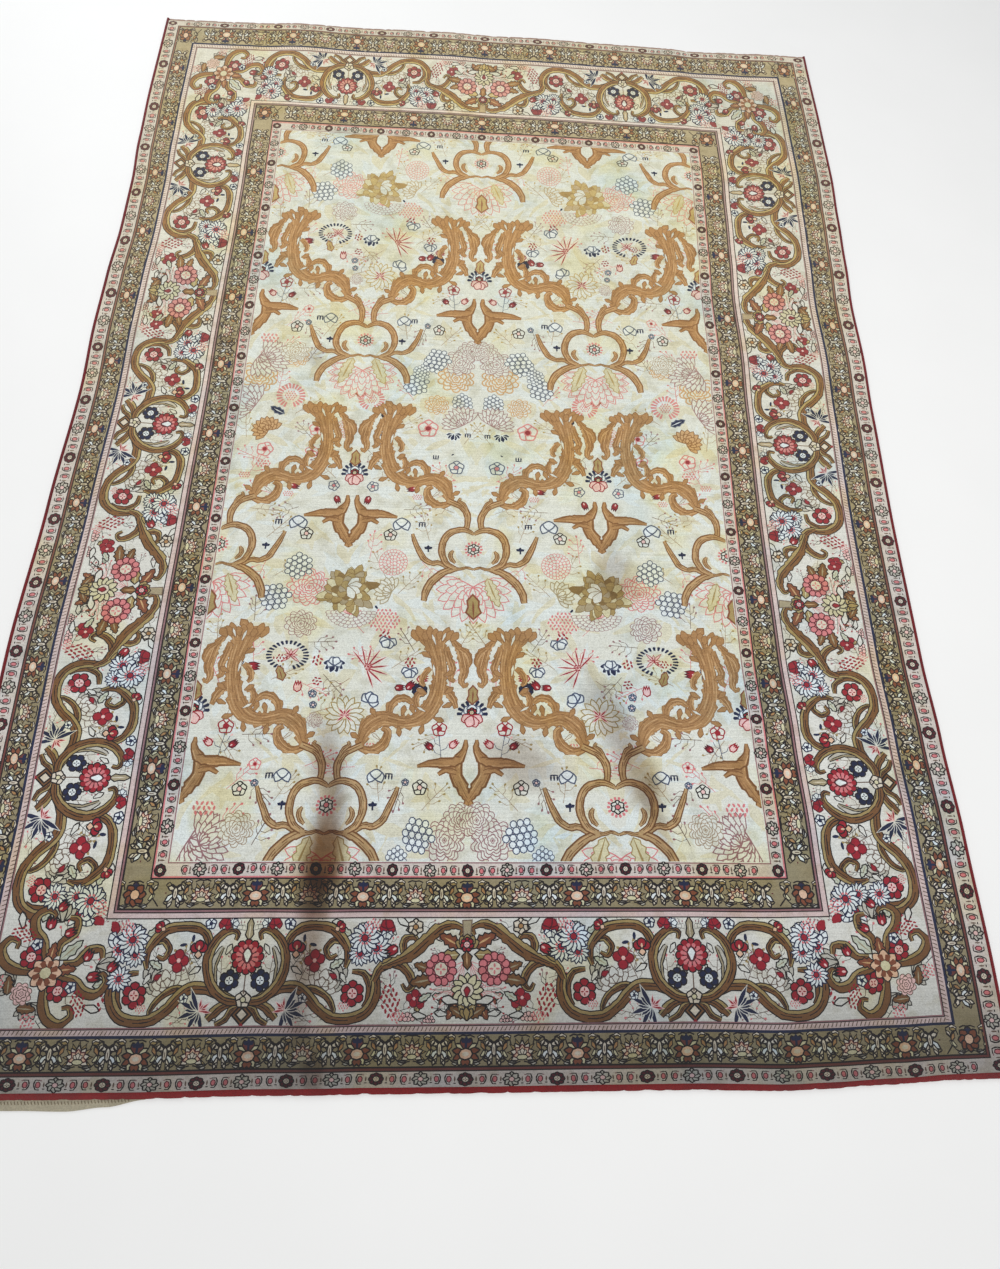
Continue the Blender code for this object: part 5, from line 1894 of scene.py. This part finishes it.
@dataclass(frozen=True)
class PileFinish:
    """Cut wool pile that takes its dye from the yarn of each face, with painted light and painted shade
    along the rug.
    """

    name: str = "knotted_pile"
    roughness: float = 0.88
    sheen: float = 0.12
    relief: float = 0.0012
    # Where the painted light gradient, from the shaded near end to the lit far end, starts and ends, in
    # metres along the rug.
    lit_gradient_from: float = -1.35
    lit_gradient_to: float = 1.45
    shade_from: float = -1.82
    shade_to: float = -1.2
    front_shade: float = 0.4
    warm_tint: tuple[int, int, int] = (252, 248, 226)
    cool_tint: tuple[int, int, int] = (238, 247, 255)
    worn_tint: tuple[int, int, int] = (240, 238, 232)

    def make(self) -> bpy.types.Material:
        """Return the material."""
        made, graph, shader = new_material(self.name)
        near = graph.add("ShaderNodeAttribute", attribute_name="yarn_near").outputs["Color"]
        far = graph.add("ShaderNodeAttribute", attribute_name="yarn_far").outputs["Color"]
        place = graph.add("ShaderNodeTexCoord").outputs["Object"]
        upward = graph.add("ShaderNodeSeparateXYZ", {0: place}).outputs["Y"]
        cloud = graph.add("ShaderNodeTexNoise", {"Vector": place, "Scale": 1.7,
                "Detail": 2.0}).outputs["Fac"]
        # Painted light: the colour runs from the shaded near colour to the lit far colour along the rug,
        # with a soft noise in the change.
        drifted = graph.math("MULTIPLY_ADD", graph.math("SUBTRACT", cloud, 0.5), 0.9, upward)
        values = {"Value": drifted, "From Min": self.lit_gradient_from, "From Max": self.lit_gradient_to}
        lit_share = graph.add("ShaderNodeMapRange", values, interpolation_type="SMOOTHSTEP").outputs[0]
        dye = graph.mix("MIX", lit_share, near, far)
        # Each patch multiplies the colour towards a brown: stains, and painted shade along the soft ripples
        # at the near end.
        for stain_and_shade in STAINS_AND_SHADE:
            patch = graph.add("ShaderNodeGroup", node_tree=WoolGroups.soft_patch())
            patch.inputs["Middle"].default_value = (stain_and_shade.x, stain_and_shade.y, 0.0)
            patch.inputs["Size"].default_value = (stain_and_shade.half_width, stain_and_shade.half_length, 1.0)
            patch.inputs["Turn"].default_value = stain_and_shade.turn
            patch.inputs["Strength"].default_value = stain_and_shade.strength
            dye = graph.mix("MULTIPLY", patch.outputs["Mask"], dye, linear((140, 104, 72)))
        for scale, start, tint in ((5.0, 0.5, self.warm_tint), (3.1, 0.52, self.cool_tint),
                (23.0, 0.5, self.worn_tint)):
            spots = graph.add("ShaderNodeTexNoise",
                    {"Vector": place, "Scale": scale, "Detail": 4.0}).outputs["Fac"]
            values = {"Value": spots, "From Min": start, "From Max": start + 0.16}
            share = graph.add("ShaderNodeMapRange", values, interpolation_type="SMOOTHSTEP").outputs[0]
            dye = graph.mix("MULTIPLY", share, dye, linear(tint))
        nearer = graph.math("MULTIPLY_ADD", graph.math("SUBTRACT", cloud, 0.5), 0.35, upward)
        values = {"Value": nearer, "From Min": self.shade_from, "From Max": self.shade_to,
                "To Min": self.front_shade}
        shade = graph.add("ShaderNodeMapRange", values, interpolation_type="SMOOTHSTEP").outputs[0]
        dye = graph.add("ShaderNodeVectorMath", {0: dye, "Scale": shade}, operation="SCALE").outputs[0]
        yarn = graph.add("ShaderNodeGroup", {"Colour": dye}, node_tree=WoolGroups.yarn_unevenness())
        bump = graph.add("ShaderNodeBump", {"Height": yarn.outputs["Height"], "Distance": self.relief})
        graph.tree.links.new(yarn.outputs["Colour"], shader.inputs["Base Color"])
        graph.tree.links.new(bump.outputs[0], shader.inputs["Normal"])
        shader.inputs["Roughness"].default_value = self.roughness
        shader.inputs["Sheen Weight"].default_value = self.sheen
        return made


@dataclass(frozen=True)
class WovenFinish:
    """A plain weave or wrapped wool of one dye, with ribs across it."""

    name: str
    dye: tuple[int, int, int]
    worn_dye: tuple[int, int, int]
    rib_pitch: float
    rib_axis: str
    roughness: float = 0.86
    sheen: float = 0.1
    relief: float = 0.0006
    wear: float = 0.4

    def make(self) -> bpy.types.Material:
        """Return the material."""
        made, graph, shader = new_material(self.name)
        place = graph.add("ShaderNodeTexCoord").outputs["Object"]
        noise = graph.add("ShaderNodeTexNoise", {"Vector": place, "Scale": 14.0,
                "Detail": 4.0}).outputs["Fac"]
        values = {"Value": noise, "From Min": 0.42, "From Max": 0.66, "To Max": self.wear}
        worn = graph.add("ShaderNodeMapRange", values, interpolation_type="SMOOTHSTEP").outputs[0]
        dye = graph.mix("MIX", worn, linear(self.dye), linear(self.worn_dye))
        ribs = graph.add(
            "ShaderNodeTexWave", {"Vector": place, "Scale": 0.314 / self.rib_pitch, "Distortion": 0.6,
                "Detail": 1.0},
            wave_type="BANDS", bands_direction=self.rib_axis).outputs["Fac"]
        shaded = graph.mix("MULTIPLY", 0.35, dye,
                graph.add("ShaderNodeCombineColor", {0: ribs, 1: ribs, 2: ribs}).outputs[0])
        values = {"Colour": shaded, "Streak Amount": 0.05, "Streaks": (160.0, 160.0, 20.0)}
        yarn = graph.add("ShaderNodeGroup", values, node_tree=WoolGroups.yarn_unevenness())
        height = graph.math("MULTIPLY_ADD", ribs, 1.2, yarn.outputs["Height"])
        bump = graph.add("ShaderNodeBump", {"Height": height, "Distance": self.relief})
        graph.tree.links.new(yarn.outputs["Colour"], shader.inputs["Base Color"])
        graph.tree.links.new(bump.outputs[0], shader.inputs["Normal"])
        shader.inputs["Roughness"].default_value = self.roughness
        shader.inputs["Sheen Weight"].default_value = self.sheen
        return made


@dataclass(frozen=True)
class FloorFinish:
    """A plain pale floor."""

    name: str = "pale_floor"
    tone: float = 0.94
    roughness: float = 0.6

    def make(self) -> bpy.types.Material:
        """Return the material."""
        made, graph, shader = new_material(self.name)
        place = graph.add("ShaderNodeTexCoord").outputs["Object"]
        noise = graph.add("ShaderNodeTexNoise", {"Vector": place, "Scale": 3.0,
                "Detail": 3.0}).outputs["Fac"]
        values = {"Value": noise, "To Min": self.tone * 0.98, "To Max": self.tone * 1.02}
        tone = graph.add("ShaderNodeMapRange", values).outputs[0]
        colour = graph.add("ShaderNodeCombineColor",
                {0: tone, 1: tone, 2: graph.math("MULTIPLY", tone, 0.985)})
        graph.tree.links.new(colour.outputs[0], shader.inputs["Base Color"])
        shader.inputs["Roughness"].default_value = self.roughness
        return made


def grid_mesh(name: str, columns: int, rows: int,
        place: Callable[[Points, Points], Points]) -> bpy.types.Object:
    """Make a one-layer sheet of quads.

    Args:
        name: The object's name.
        columns: How many faces across.
        rows: How many faces along.
        place: Takes the shares across and along and gives places in metres.

    Returns:
        The object, in the scene.
    """
    across, along = np.meshgrid(np.linspace(0, 1, columns + 1), np.linspace(0, 1, rows + 1))
    vertices = place(across.ravel(), along.ravel())
    index = np.arange(vertices.shape[0]).reshape(rows + 1, columns + 1)
    quads = np.stack([index[:-1, :-1], index[:-1, 1:], index[1:, 1:], index[1:, :-1]], -1).reshape(-1, 4)
    mesh = bpy.data.meshes.new(name)
    mesh.from_pydata(vertices.tolist(), [], quads.tolist())
    made = bpy.data.objects.new(name, mesh)
    bpy.context.scene.collection.objects.link(made)
    return made


def thicken(piece: bpy.types.Object, thickness: float) -> None:
    """Give a one-layer sheet its thickness, upwards, in metres."""
    solid = piece.modifiers.new("thickness", "SOLIDIFY")
    solid.thickness = thickness
    solid.offset = 1.0
    make_plain(piece)


def make_plain(piece: bpy.types.Object) -> None:
    """Turn a piece's evaluated shape into its plain mesh."""
    bpy.context.view_layer.update()
    graph = bpy.context.evaluated_depsgraph_get()
    mesh = bpy.data.meshes.new_from_object(piece.evaluated_get(graph))
    mesh.name = piece.name
    piece.modifiers.clear()
    piece.data = mesh


def dress(piece: bpy.types.Object, material: bpy.types.Material, slot: str, *nodes: str) -> None:
    """Give a piece its material and body, hide the nodes it replaces, and log its slot's name."""
    if not piece.data.materials:
        piece.data.materials.append(material)
    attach(piece, BODY)
    if nodes:
        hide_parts(*nodes)
    LOG.info("%s: %d faces, %s", piece.name, len(piece.data.polygons), slot)


@dataclass(frozen=True)
class Foundation:
    """The woven cotton sheet that the knots are tied on."""

    columns: int = 62
    rows: int = 82
    thickness: float = 3.5

    def build(self) -> bpy.types.Object:
        """Return the sheet, flat on the floor under the ripples."""

        def place(across: Points, along: Points) -> Points:
            even = np.stack([(2 * across - 1) * RUG_HALF_WIDTH, (2 * along - 1) * RUG_HALF_LENGTH], 1)
            return SHAPE.raised(SHAPE.laid(even), 0.0)

        piece = grid_mesh("woven_foundation", self.columns, self.rows, place)
        thicken(piece, self.thickness * MM)
        return piece


@dataclass(frozen=True)
class Selvedge:
    """A cord of side warps overcast with wool, one wrap beside the next."""

    name: str
    outwards: float
    wrap_pitch: float = 3.0
    sides: int = 8

    def route(self) -> Points:
        """Return the middle line of the cord, in metres."""
        end = self.outwards * SHAPE.half_width
        ys = np.linspace(float(SHAPE.near(end)), float(SHAPE.far(end)), 180)
        edge = SHAPE.right(ys) if self.outwards > 0 else SHAPE.left(ys)
        xs = edge - self.outwards * 0.5 * SHAPE.selvedge
        zs = SHAPE.lift(xs, ys) + 0.5 * SHAPE.selvedge_height
        return np.stack([xs, ys, zs], 1) * MM

    def wraps(self, material: bpy.types.Material) -> bpy.types.NodeTree:
        """Build the Geometry Nodes tree that winds the wool on the cord."""
        inputs = {"Geometry": None, "Wrap Pitch": self.wrap_pitch * MM, "Half Width": 5.4 * MM,
                  "Half Height": 4.4 * MM, "Groove": 0.1, "Seed": 7, "Material": material}
        graph = socketed(f"{self.name} wraps", "GeometryNodeTree", inputs,
                {"Geometry": "NodeSocketGeometry"})
        given = graph.add("NodeGroupInput").outputs
        half = graph.math("MULTIPLY", given["Wrap Pitch"], 0.5)
        line = graph.add("GeometryNodeResampleCurve", {"Curve": given["Geometry"], "Length": half},
                mode="LENGTH")
        index = graph.add("GeometryNodeInputIndex").outputs[0]
        odd = graph.math("MODULO", index, 2.0)
        bulge = graph.math("SUBTRACT", 1.0, graph.math("MULTIPLY", odd, given["Groove"]))
        values = {2: 0.97, 3: 1.0, "ID": index, "Seed": given["Seed"]}
        uneven = graph.add("FunctionNodeRandomValue", values, data_type="FLOAT").outputs[1]
        radius = graph.math("MULTIPLY", bulge, uneven)
        profile = graph.add("GeometryNodeCurvePrimitiveCircle", {"Resolution": self.sides, "Radius": 1.0},
                mode="RADIUS")
        size = graph.add("ShaderNodeCombineXYZ", {0: given["Half Width"], 1: given["Half Height"], 2: 1.0})
        oval_ring = graph.add("GeometryNodeTransform", {0: profile.outputs[0], "Scale": size.outputs[0]})
        values = {"Curve": line.outputs[0], "Profile Curve": oval_ring.outputs[0], "Scale": radius,
                "Fill Caps": True}
        tube = graph.add("GeometryNodeCurveToMesh", values)
        whole = graph.add("GeometryNodeRealizeInstances", {0: tube.outputs[0]})
        finished = graph.add("GeometryNodeSetMaterial",
                {0: whole.outputs[0], "Material": given["Material"]})
        graph.add("NodeGroupOutput", {0: finished.outputs[0]})
        return graph.tree

    def build(self, material: bpy.types.Material) -> bpy.types.Object:
        """Return the selvedge as a plain mesh."""
        route = self.route()
        line = bpy.data.curves.new(self.name, "CURVE")
        line.dimensions = "3D"
        line.twist_mode = "Z_UP"
        spline = line.splines.new("POLY")
        spline.points.add(len(route) - 1)
        spline.points.foreach_set("co", np.column_stack([route, np.ones(len(route))]).ravel())
        guide = bpy.data.objects.new(f"{self.name}_guide", line)
        bpy.context.scene.collection.objects.link(guide)
        mesh = wound(guide, self.wraps(material))
        mesh.name = self.name
        heights = np.zeros(len(mesh.vertices) * 3)
        mesh.vertices.foreach_get("co", heights)
        corners = heights.reshape(-1, 3)
        floor = SHAPE.lift(corners[:, 0] / MM, corners[:, 1] / MM) * MM
        corners[:, 2] = np.maximum(corners[:, 2], floor + 0.0001)
        mesh.vertices.foreach_set("co", corners.ravel())
        made = bpy.data.objects.new(self.name, mesh)
        bpy.context.scene.collection.objects.link(made)
        return made


def wound(guide: bpy.types.Object, tree: bpy.types.NodeTree) -> bpy.types.Mesh:
    """Run a Geometry Nodes tree on a guide and return a plain mesh.

    Args:
        guide: The object that the tree works on; it is removed.
        tree: The tree, with its inputs' defaults as the sizes.

    Returns:
        The mesh that the tree makes.
    """
    modifier = guide.modifiers.new("shape", "NODES")
    modifier.node_group = tree
    for item in tree.interface.items_tree:
        if item.in_out == "INPUT" and item.socket_type != "NodeSocketGeometry":
            modifier[item.identifier] = item.default_value
    bpy.context.view_layer.update()
    graph = bpy.context.evaluated_depsgraph_get()
    mesh = bpy.data.meshes.new_from_object(guide.evaluated_get(graph))
    guide.modifiers.clear()
    bpy.data.objects.remove(guide)
    return mesh


@dataclass(frozen=True)
class EndBand:
    """The flat-woven band that ends the pile, a little frayed."""

    name: str
    outwards: float
    thickness: float
    fray: float
    columns: int = 620
    rows: int = 4

    def build(self) -> bpy.types.Object:
        """Return the band."""
        end_y = self.outwards * SHAPE.half_length
        inset = SHAPE.selvedge + SHAPE.gap
        left = float(SHAPE.left(end_y)) + inset
        right = float(SHAPE.right(end_y)) - inset
        wander = np.random.default_rng(11)
        rough = np.interp(np.arange(self.columns + 1), np.arange(0, self.columns + 3, 3),
                          wander.uniform(0.0, 1.0, len(range(0, self.columns + 3, 3))))

        def place(across: Points, along: Points) -> Points:
            x = left + across * (right - left)
            column = np.round(across * self.columns).astype(int)
            share = along if self.outwards < 0 else 1.0 - along
            edge = SHAPE.near(x) if self.outwards < 0 else SHAPE.far(x)
            nick = self.fray * rough[column] ** 3 * (1.0 - share)
            y = edge - self.outwards * (share * SHAPE.band + nick)
            return SHAPE.raised(np.stack([x, y], 1), 0.0)

        piece = grid_mesh(self.name, self.columns, self.rows, place)
        thicken(piece, self.thickness * MM)
        return piece


@dataclass(frozen=True)
class Tape:
    """The cream canvas tape under the near band, with whip stitches."""

    name: str = "near_end_tape"
    thickness: float = 2.0
    stitch_pitch: float = 7.0

    def line(self, across: Points, share: Points | float) -> Points:
        """Return plan points, a share of the way from the tape's outer edge."""
        first, last = TAPE_STATIONS[0, 0], TAPE_STATIONS[-1, 0]
        x = first + across * (last - first)
        top = SHAPE.near(x) - SHAPE.gap
        return np.stack([x, top - (1.0 - share) * eased(x, TAPE_STATIONS)], 1)

    def build(self) -> bpy.types.Object:
        """Return the tape."""
        piece = grid_mesh(self.name, 90, 3, lambda a, b: SHAPE.raised(self.line(a, b), 0.0))
        thicken(piece, self.thickness * MM)
        return piece

    def stitches(self, material: bpy.types.Material) -> bpy.types.Object:
        """Return the row of stitches, laid along a line by Geometry Nodes."""
        inputs = {"Geometry": None, "Pitch": self.stitch_pitch * MM, "Length": 6.5 * MM,
                "Thickness": 0.7 * MM,
                  "Slant": 0.5, "Material": material}
        graph = socketed("tape stitches", "GeometryNodeTree", inputs, {"Geometry": "NodeSocketGeometry"})
        given = graph.add("NodeGroupInput").outputs
        line = graph.add(
            "GeometryNodeCurveToPoints", {"Curve": given["Geometry"], "Length": given["Pitch"]},
            mode="LENGTH")
        start = graph.add("ShaderNodeCombineXYZ", {1: graph.math("MULTIPLY", given["Length"], -0.5)})
        end = graph.add("ShaderNodeCombineXYZ", {1: graph.math("MULTIPLY", given["Length"], 0.5)})
        middle = graph.add("ShaderNodeCombineXYZ", {2: graph.math("MULTIPLY", given["Thickness"], 1.6)})
        bow = graph.add(
            "GeometryNodeCurveQuadraticBezier",
            {"Resolution": 4, "Start": start.outputs[0], "Middle": middle.outputs[0],
                "End": end.outputs[0]})
        profile = graph.add("GeometryNodeCurvePrimitiveCircle",
                {"Resolution": 6, "Radius": given["Thickness"]})
        stitch = graph.add(
            "GeometryNodeCurveToMesh",
            {"Curve": bow.outputs[0], "Profile Curve": profile.outputs[0], "Fill Caps": True})
        slant = graph.add("ShaderNodeCombineXYZ", {2: given["Slant"]})
        values = {"Points": line.outputs[0], "Instance": stitch.outputs[0], "Rotation": slant.outputs[0]}
        laid = graph.add("GeometryNodeInstanceOnPoints", values)
        whole = graph.add("GeometryNodeRealizeInstances", {0: laid.outputs[0]})
        finished = graph.add("GeometryNodeSetMaterial",
                {0: whole.outputs[0], "Material": given["Material"]})
        graph.add("NodeGroupOutput", {0: finished.outputs[0]})
        route = SHAPE.raised(self.line(np.linspace(0.01, 0.93, 80), 0.72), self.thickness + 0.2)
        guide_curve = bpy.data.curves.new("stitch_line", "CURVE")
        guide_curve.dimensions = "3D"
        spline = guide_curve.splines.new("POLY")
        spline.points.add(len(route) - 1)
        spline.points.foreach_set("co", np.column_stack([route, np.ones(len(route))]).ravel())
        guide = bpy.data.objects.new("stitch_line", guide_curve)
        bpy.context.scene.collection.objects.link(guide)
        mesh = wound(guide, graph.tree)
        mesh.name = "tape_stitches"
        made = bpy.data.objects.new("tape_stitches", mesh)
        bpy.context.scene.collection.objects.link(made)
        return made


@dataclass(frozen=True)
class Studio:
    """The floor, the light and the camera."""

    floor_half: float = 9.0
    floor_drop: float = 0.0005
    floor_cells: int = 4
    lens: float = 15.887
    film_width: float = 36.0
    near_clip: float = 0.05
    sky_tint: tuple[float, float, float, float] = (0.97, 0.98, 1.0, 1.0)
    sky_strength: float = 0.52
    eye: tuple[float, float, float] = (-0.0333, -1.0906, 1.4905)
    right: tuple[float, float, float] = (0.99882842, 0.00539439, 0.04809041)
    up: tuple[float, float, float] = (-0.01811068, 0.96321822, 0.26810943)
    back: tuple[float, float, float] = (-0.04487527, -0.26866626, 0.96218743)

    def build(self) -> None:
        """Make the floor, the lamps, the sky and the camera."""
        half = self.floor_half
        cells = self.floor_cells
        floor = grid_mesh("floor", cells, cells, lambda a, b: np.stack(
            [(2 * a - 1) * half, (2 * b - 1) * half, np.full(len(a), -self.floor_drop)], 1))
        floor.data.materials.append(FloorFinish().make())
        self.lamp("window_light", (-2.6, 4.4, 3.4), (0.0, 0.2, 0.0), 2.6, 88.0, (0.97, 0.99, 1.0))
        self.lamp("ceiling_light", (0.6, -0.4, 4.2), (0.0, 0.0, 0.0), 4.5, 98.0, (1.0, 0.99, 0.98))
        world = bpy.data.worlds.new("studio")
        world.use_nodes = True
        sky = world.node_tree.nodes["Background"]
        sky.inputs["Color"].default_value = self.sky_tint
        sky.inputs["Strength"].default_value = self.sky_strength
        bpy.context.scene.world = world
        bpy.context.scene.view_settings.view_transform = "Standard"
        lens = bpy.data.cameras.new("camera")
        lens.lens = self.lens
        lens.sensor_width = self.film_width
        lens.clip_start = self.near_clip
        camera = bpy.data.objects.new("camera", lens)
        bpy.context.scene.collection.objects.link(camera)
        axes = Matrix((self.right, self.up, self.back)).transposed().to_4x4()
        camera.matrix_world = Matrix.Translation(self.eye) @ axes
        bpy.context.scene.camera = camera

    def lamp(
        self, name: str, place: tuple[float, float, float], aim: tuple[float, float, float], size: float,
        power: float, tint: tuple[float, float, float],
    ) -> None:
        """Hang one square soft lamp that faces a point."""
        light = bpy.data.lights.new(name, "AREA")
        light.size = size
        light.energy = power
        light.color = tint
        hung = bpy.data.objects.new(name, light)
        hung.location = place
        hung.rotation_euler = (Vector(aim) - Vector(place)).to_track_quat("-Z", "Y").to_euler()
        bpy.context.scene.collection.objects.link(hung)


def draw_cartoon() -> Cartoon:
    """Return the whole design, the lowest patches first."""
    cartoon = Cartoon()
    Field().draw(cartoon)
    MinorBorder(Zone.INNER_MINOR, 101.5, 61.5, 121.0).draw(cartoon)
    MainBorder().draw(cartoon)
    MinorBorder(Zone.OUTER_MINOR, 442.0, 60.0, 126.0).draw(cartoon)
    GuardBorder(Zone.INNER_GUARD, 33.5, 28.5, 92.0, 12.5).draw(cartoon)
    GuardBorder(Zone.OUTER_GUARD, 493.0, 38.0, 99.0, 16.0).draw(cartoon)
    TwistStripe().draw(cartoon)
    LOG.info("cartoon: %d patches", len(cartoon.outlines))
    return cartoon


def main() -> None:
    """Build the rug's pieces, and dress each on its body."""
    logging.basicConfig(level=logging.INFO, format="%(name)s: %(message)s")
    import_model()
    pile_wool = PileFinish().make()
    panels = Pile().build(draw_cartoon())
    for panel in panels:
        dress(panel, pile_wool, "knotted_pile", "knotted_rug")
    cotton = WovenFinish("cotton_foundation", (206, 190, 160), (180, 160, 128), 0.002, "Y").make()
    sheet = Foundation().build()
    dress(sheet, cotton, "knotted_pile", "knotted_rug")
    red_wool = WovenFinish("red_wool", (128, 16, 26), (84, 20, 26), 0.003, "Y").make()
    edges = [Selvedge("left_selvedge_wraps", -1.0), Selvedge("right_selvedge_wraps", 1.0)]
    for edge, node in zip(edges, ("left_selvedge", "right_selvedge")):
        dress(edge.build(red_wool), red_wool, "red_wool", node)
    red_weft = WovenFinish("red_weft", (140, 16, 20), (104, 12, 16), 0.0016, "X").make()
    near_band = EndBand("near_weft_band", -1.0, 5.0, 2.5).build()
    dress(near_band, red_weft, "red_weft", "near_end_band")
    pink_weft = WovenFinish("pink_weft", (196, 160, 140), (212, 190, 168), 0.0016, "X").make()
    far_band = EndBand("far_weft_band", 1.0, 5.0, 5.0).build()
    dress(far_band, pink_weft, "pink_weft", "far_end_band")
    canvas = WovenFinish("cream_canvas", (206, 196, 168), (178, 166, 138), 0.0012, "X").make()
    tape = Tape(name="near_canvas_tape")
    dress(tape.build(), canvas, "cream_canvas", "near_end_tape")
    thread = WovenFinish("stitch_thread", (150, 132, 104), (120, 100, 78), 0.001, "X").make()
    dress(tape.stitches(thread), thread, "cream_canvas")
    Studio().build()


if __name__ == "__main__":
    main()
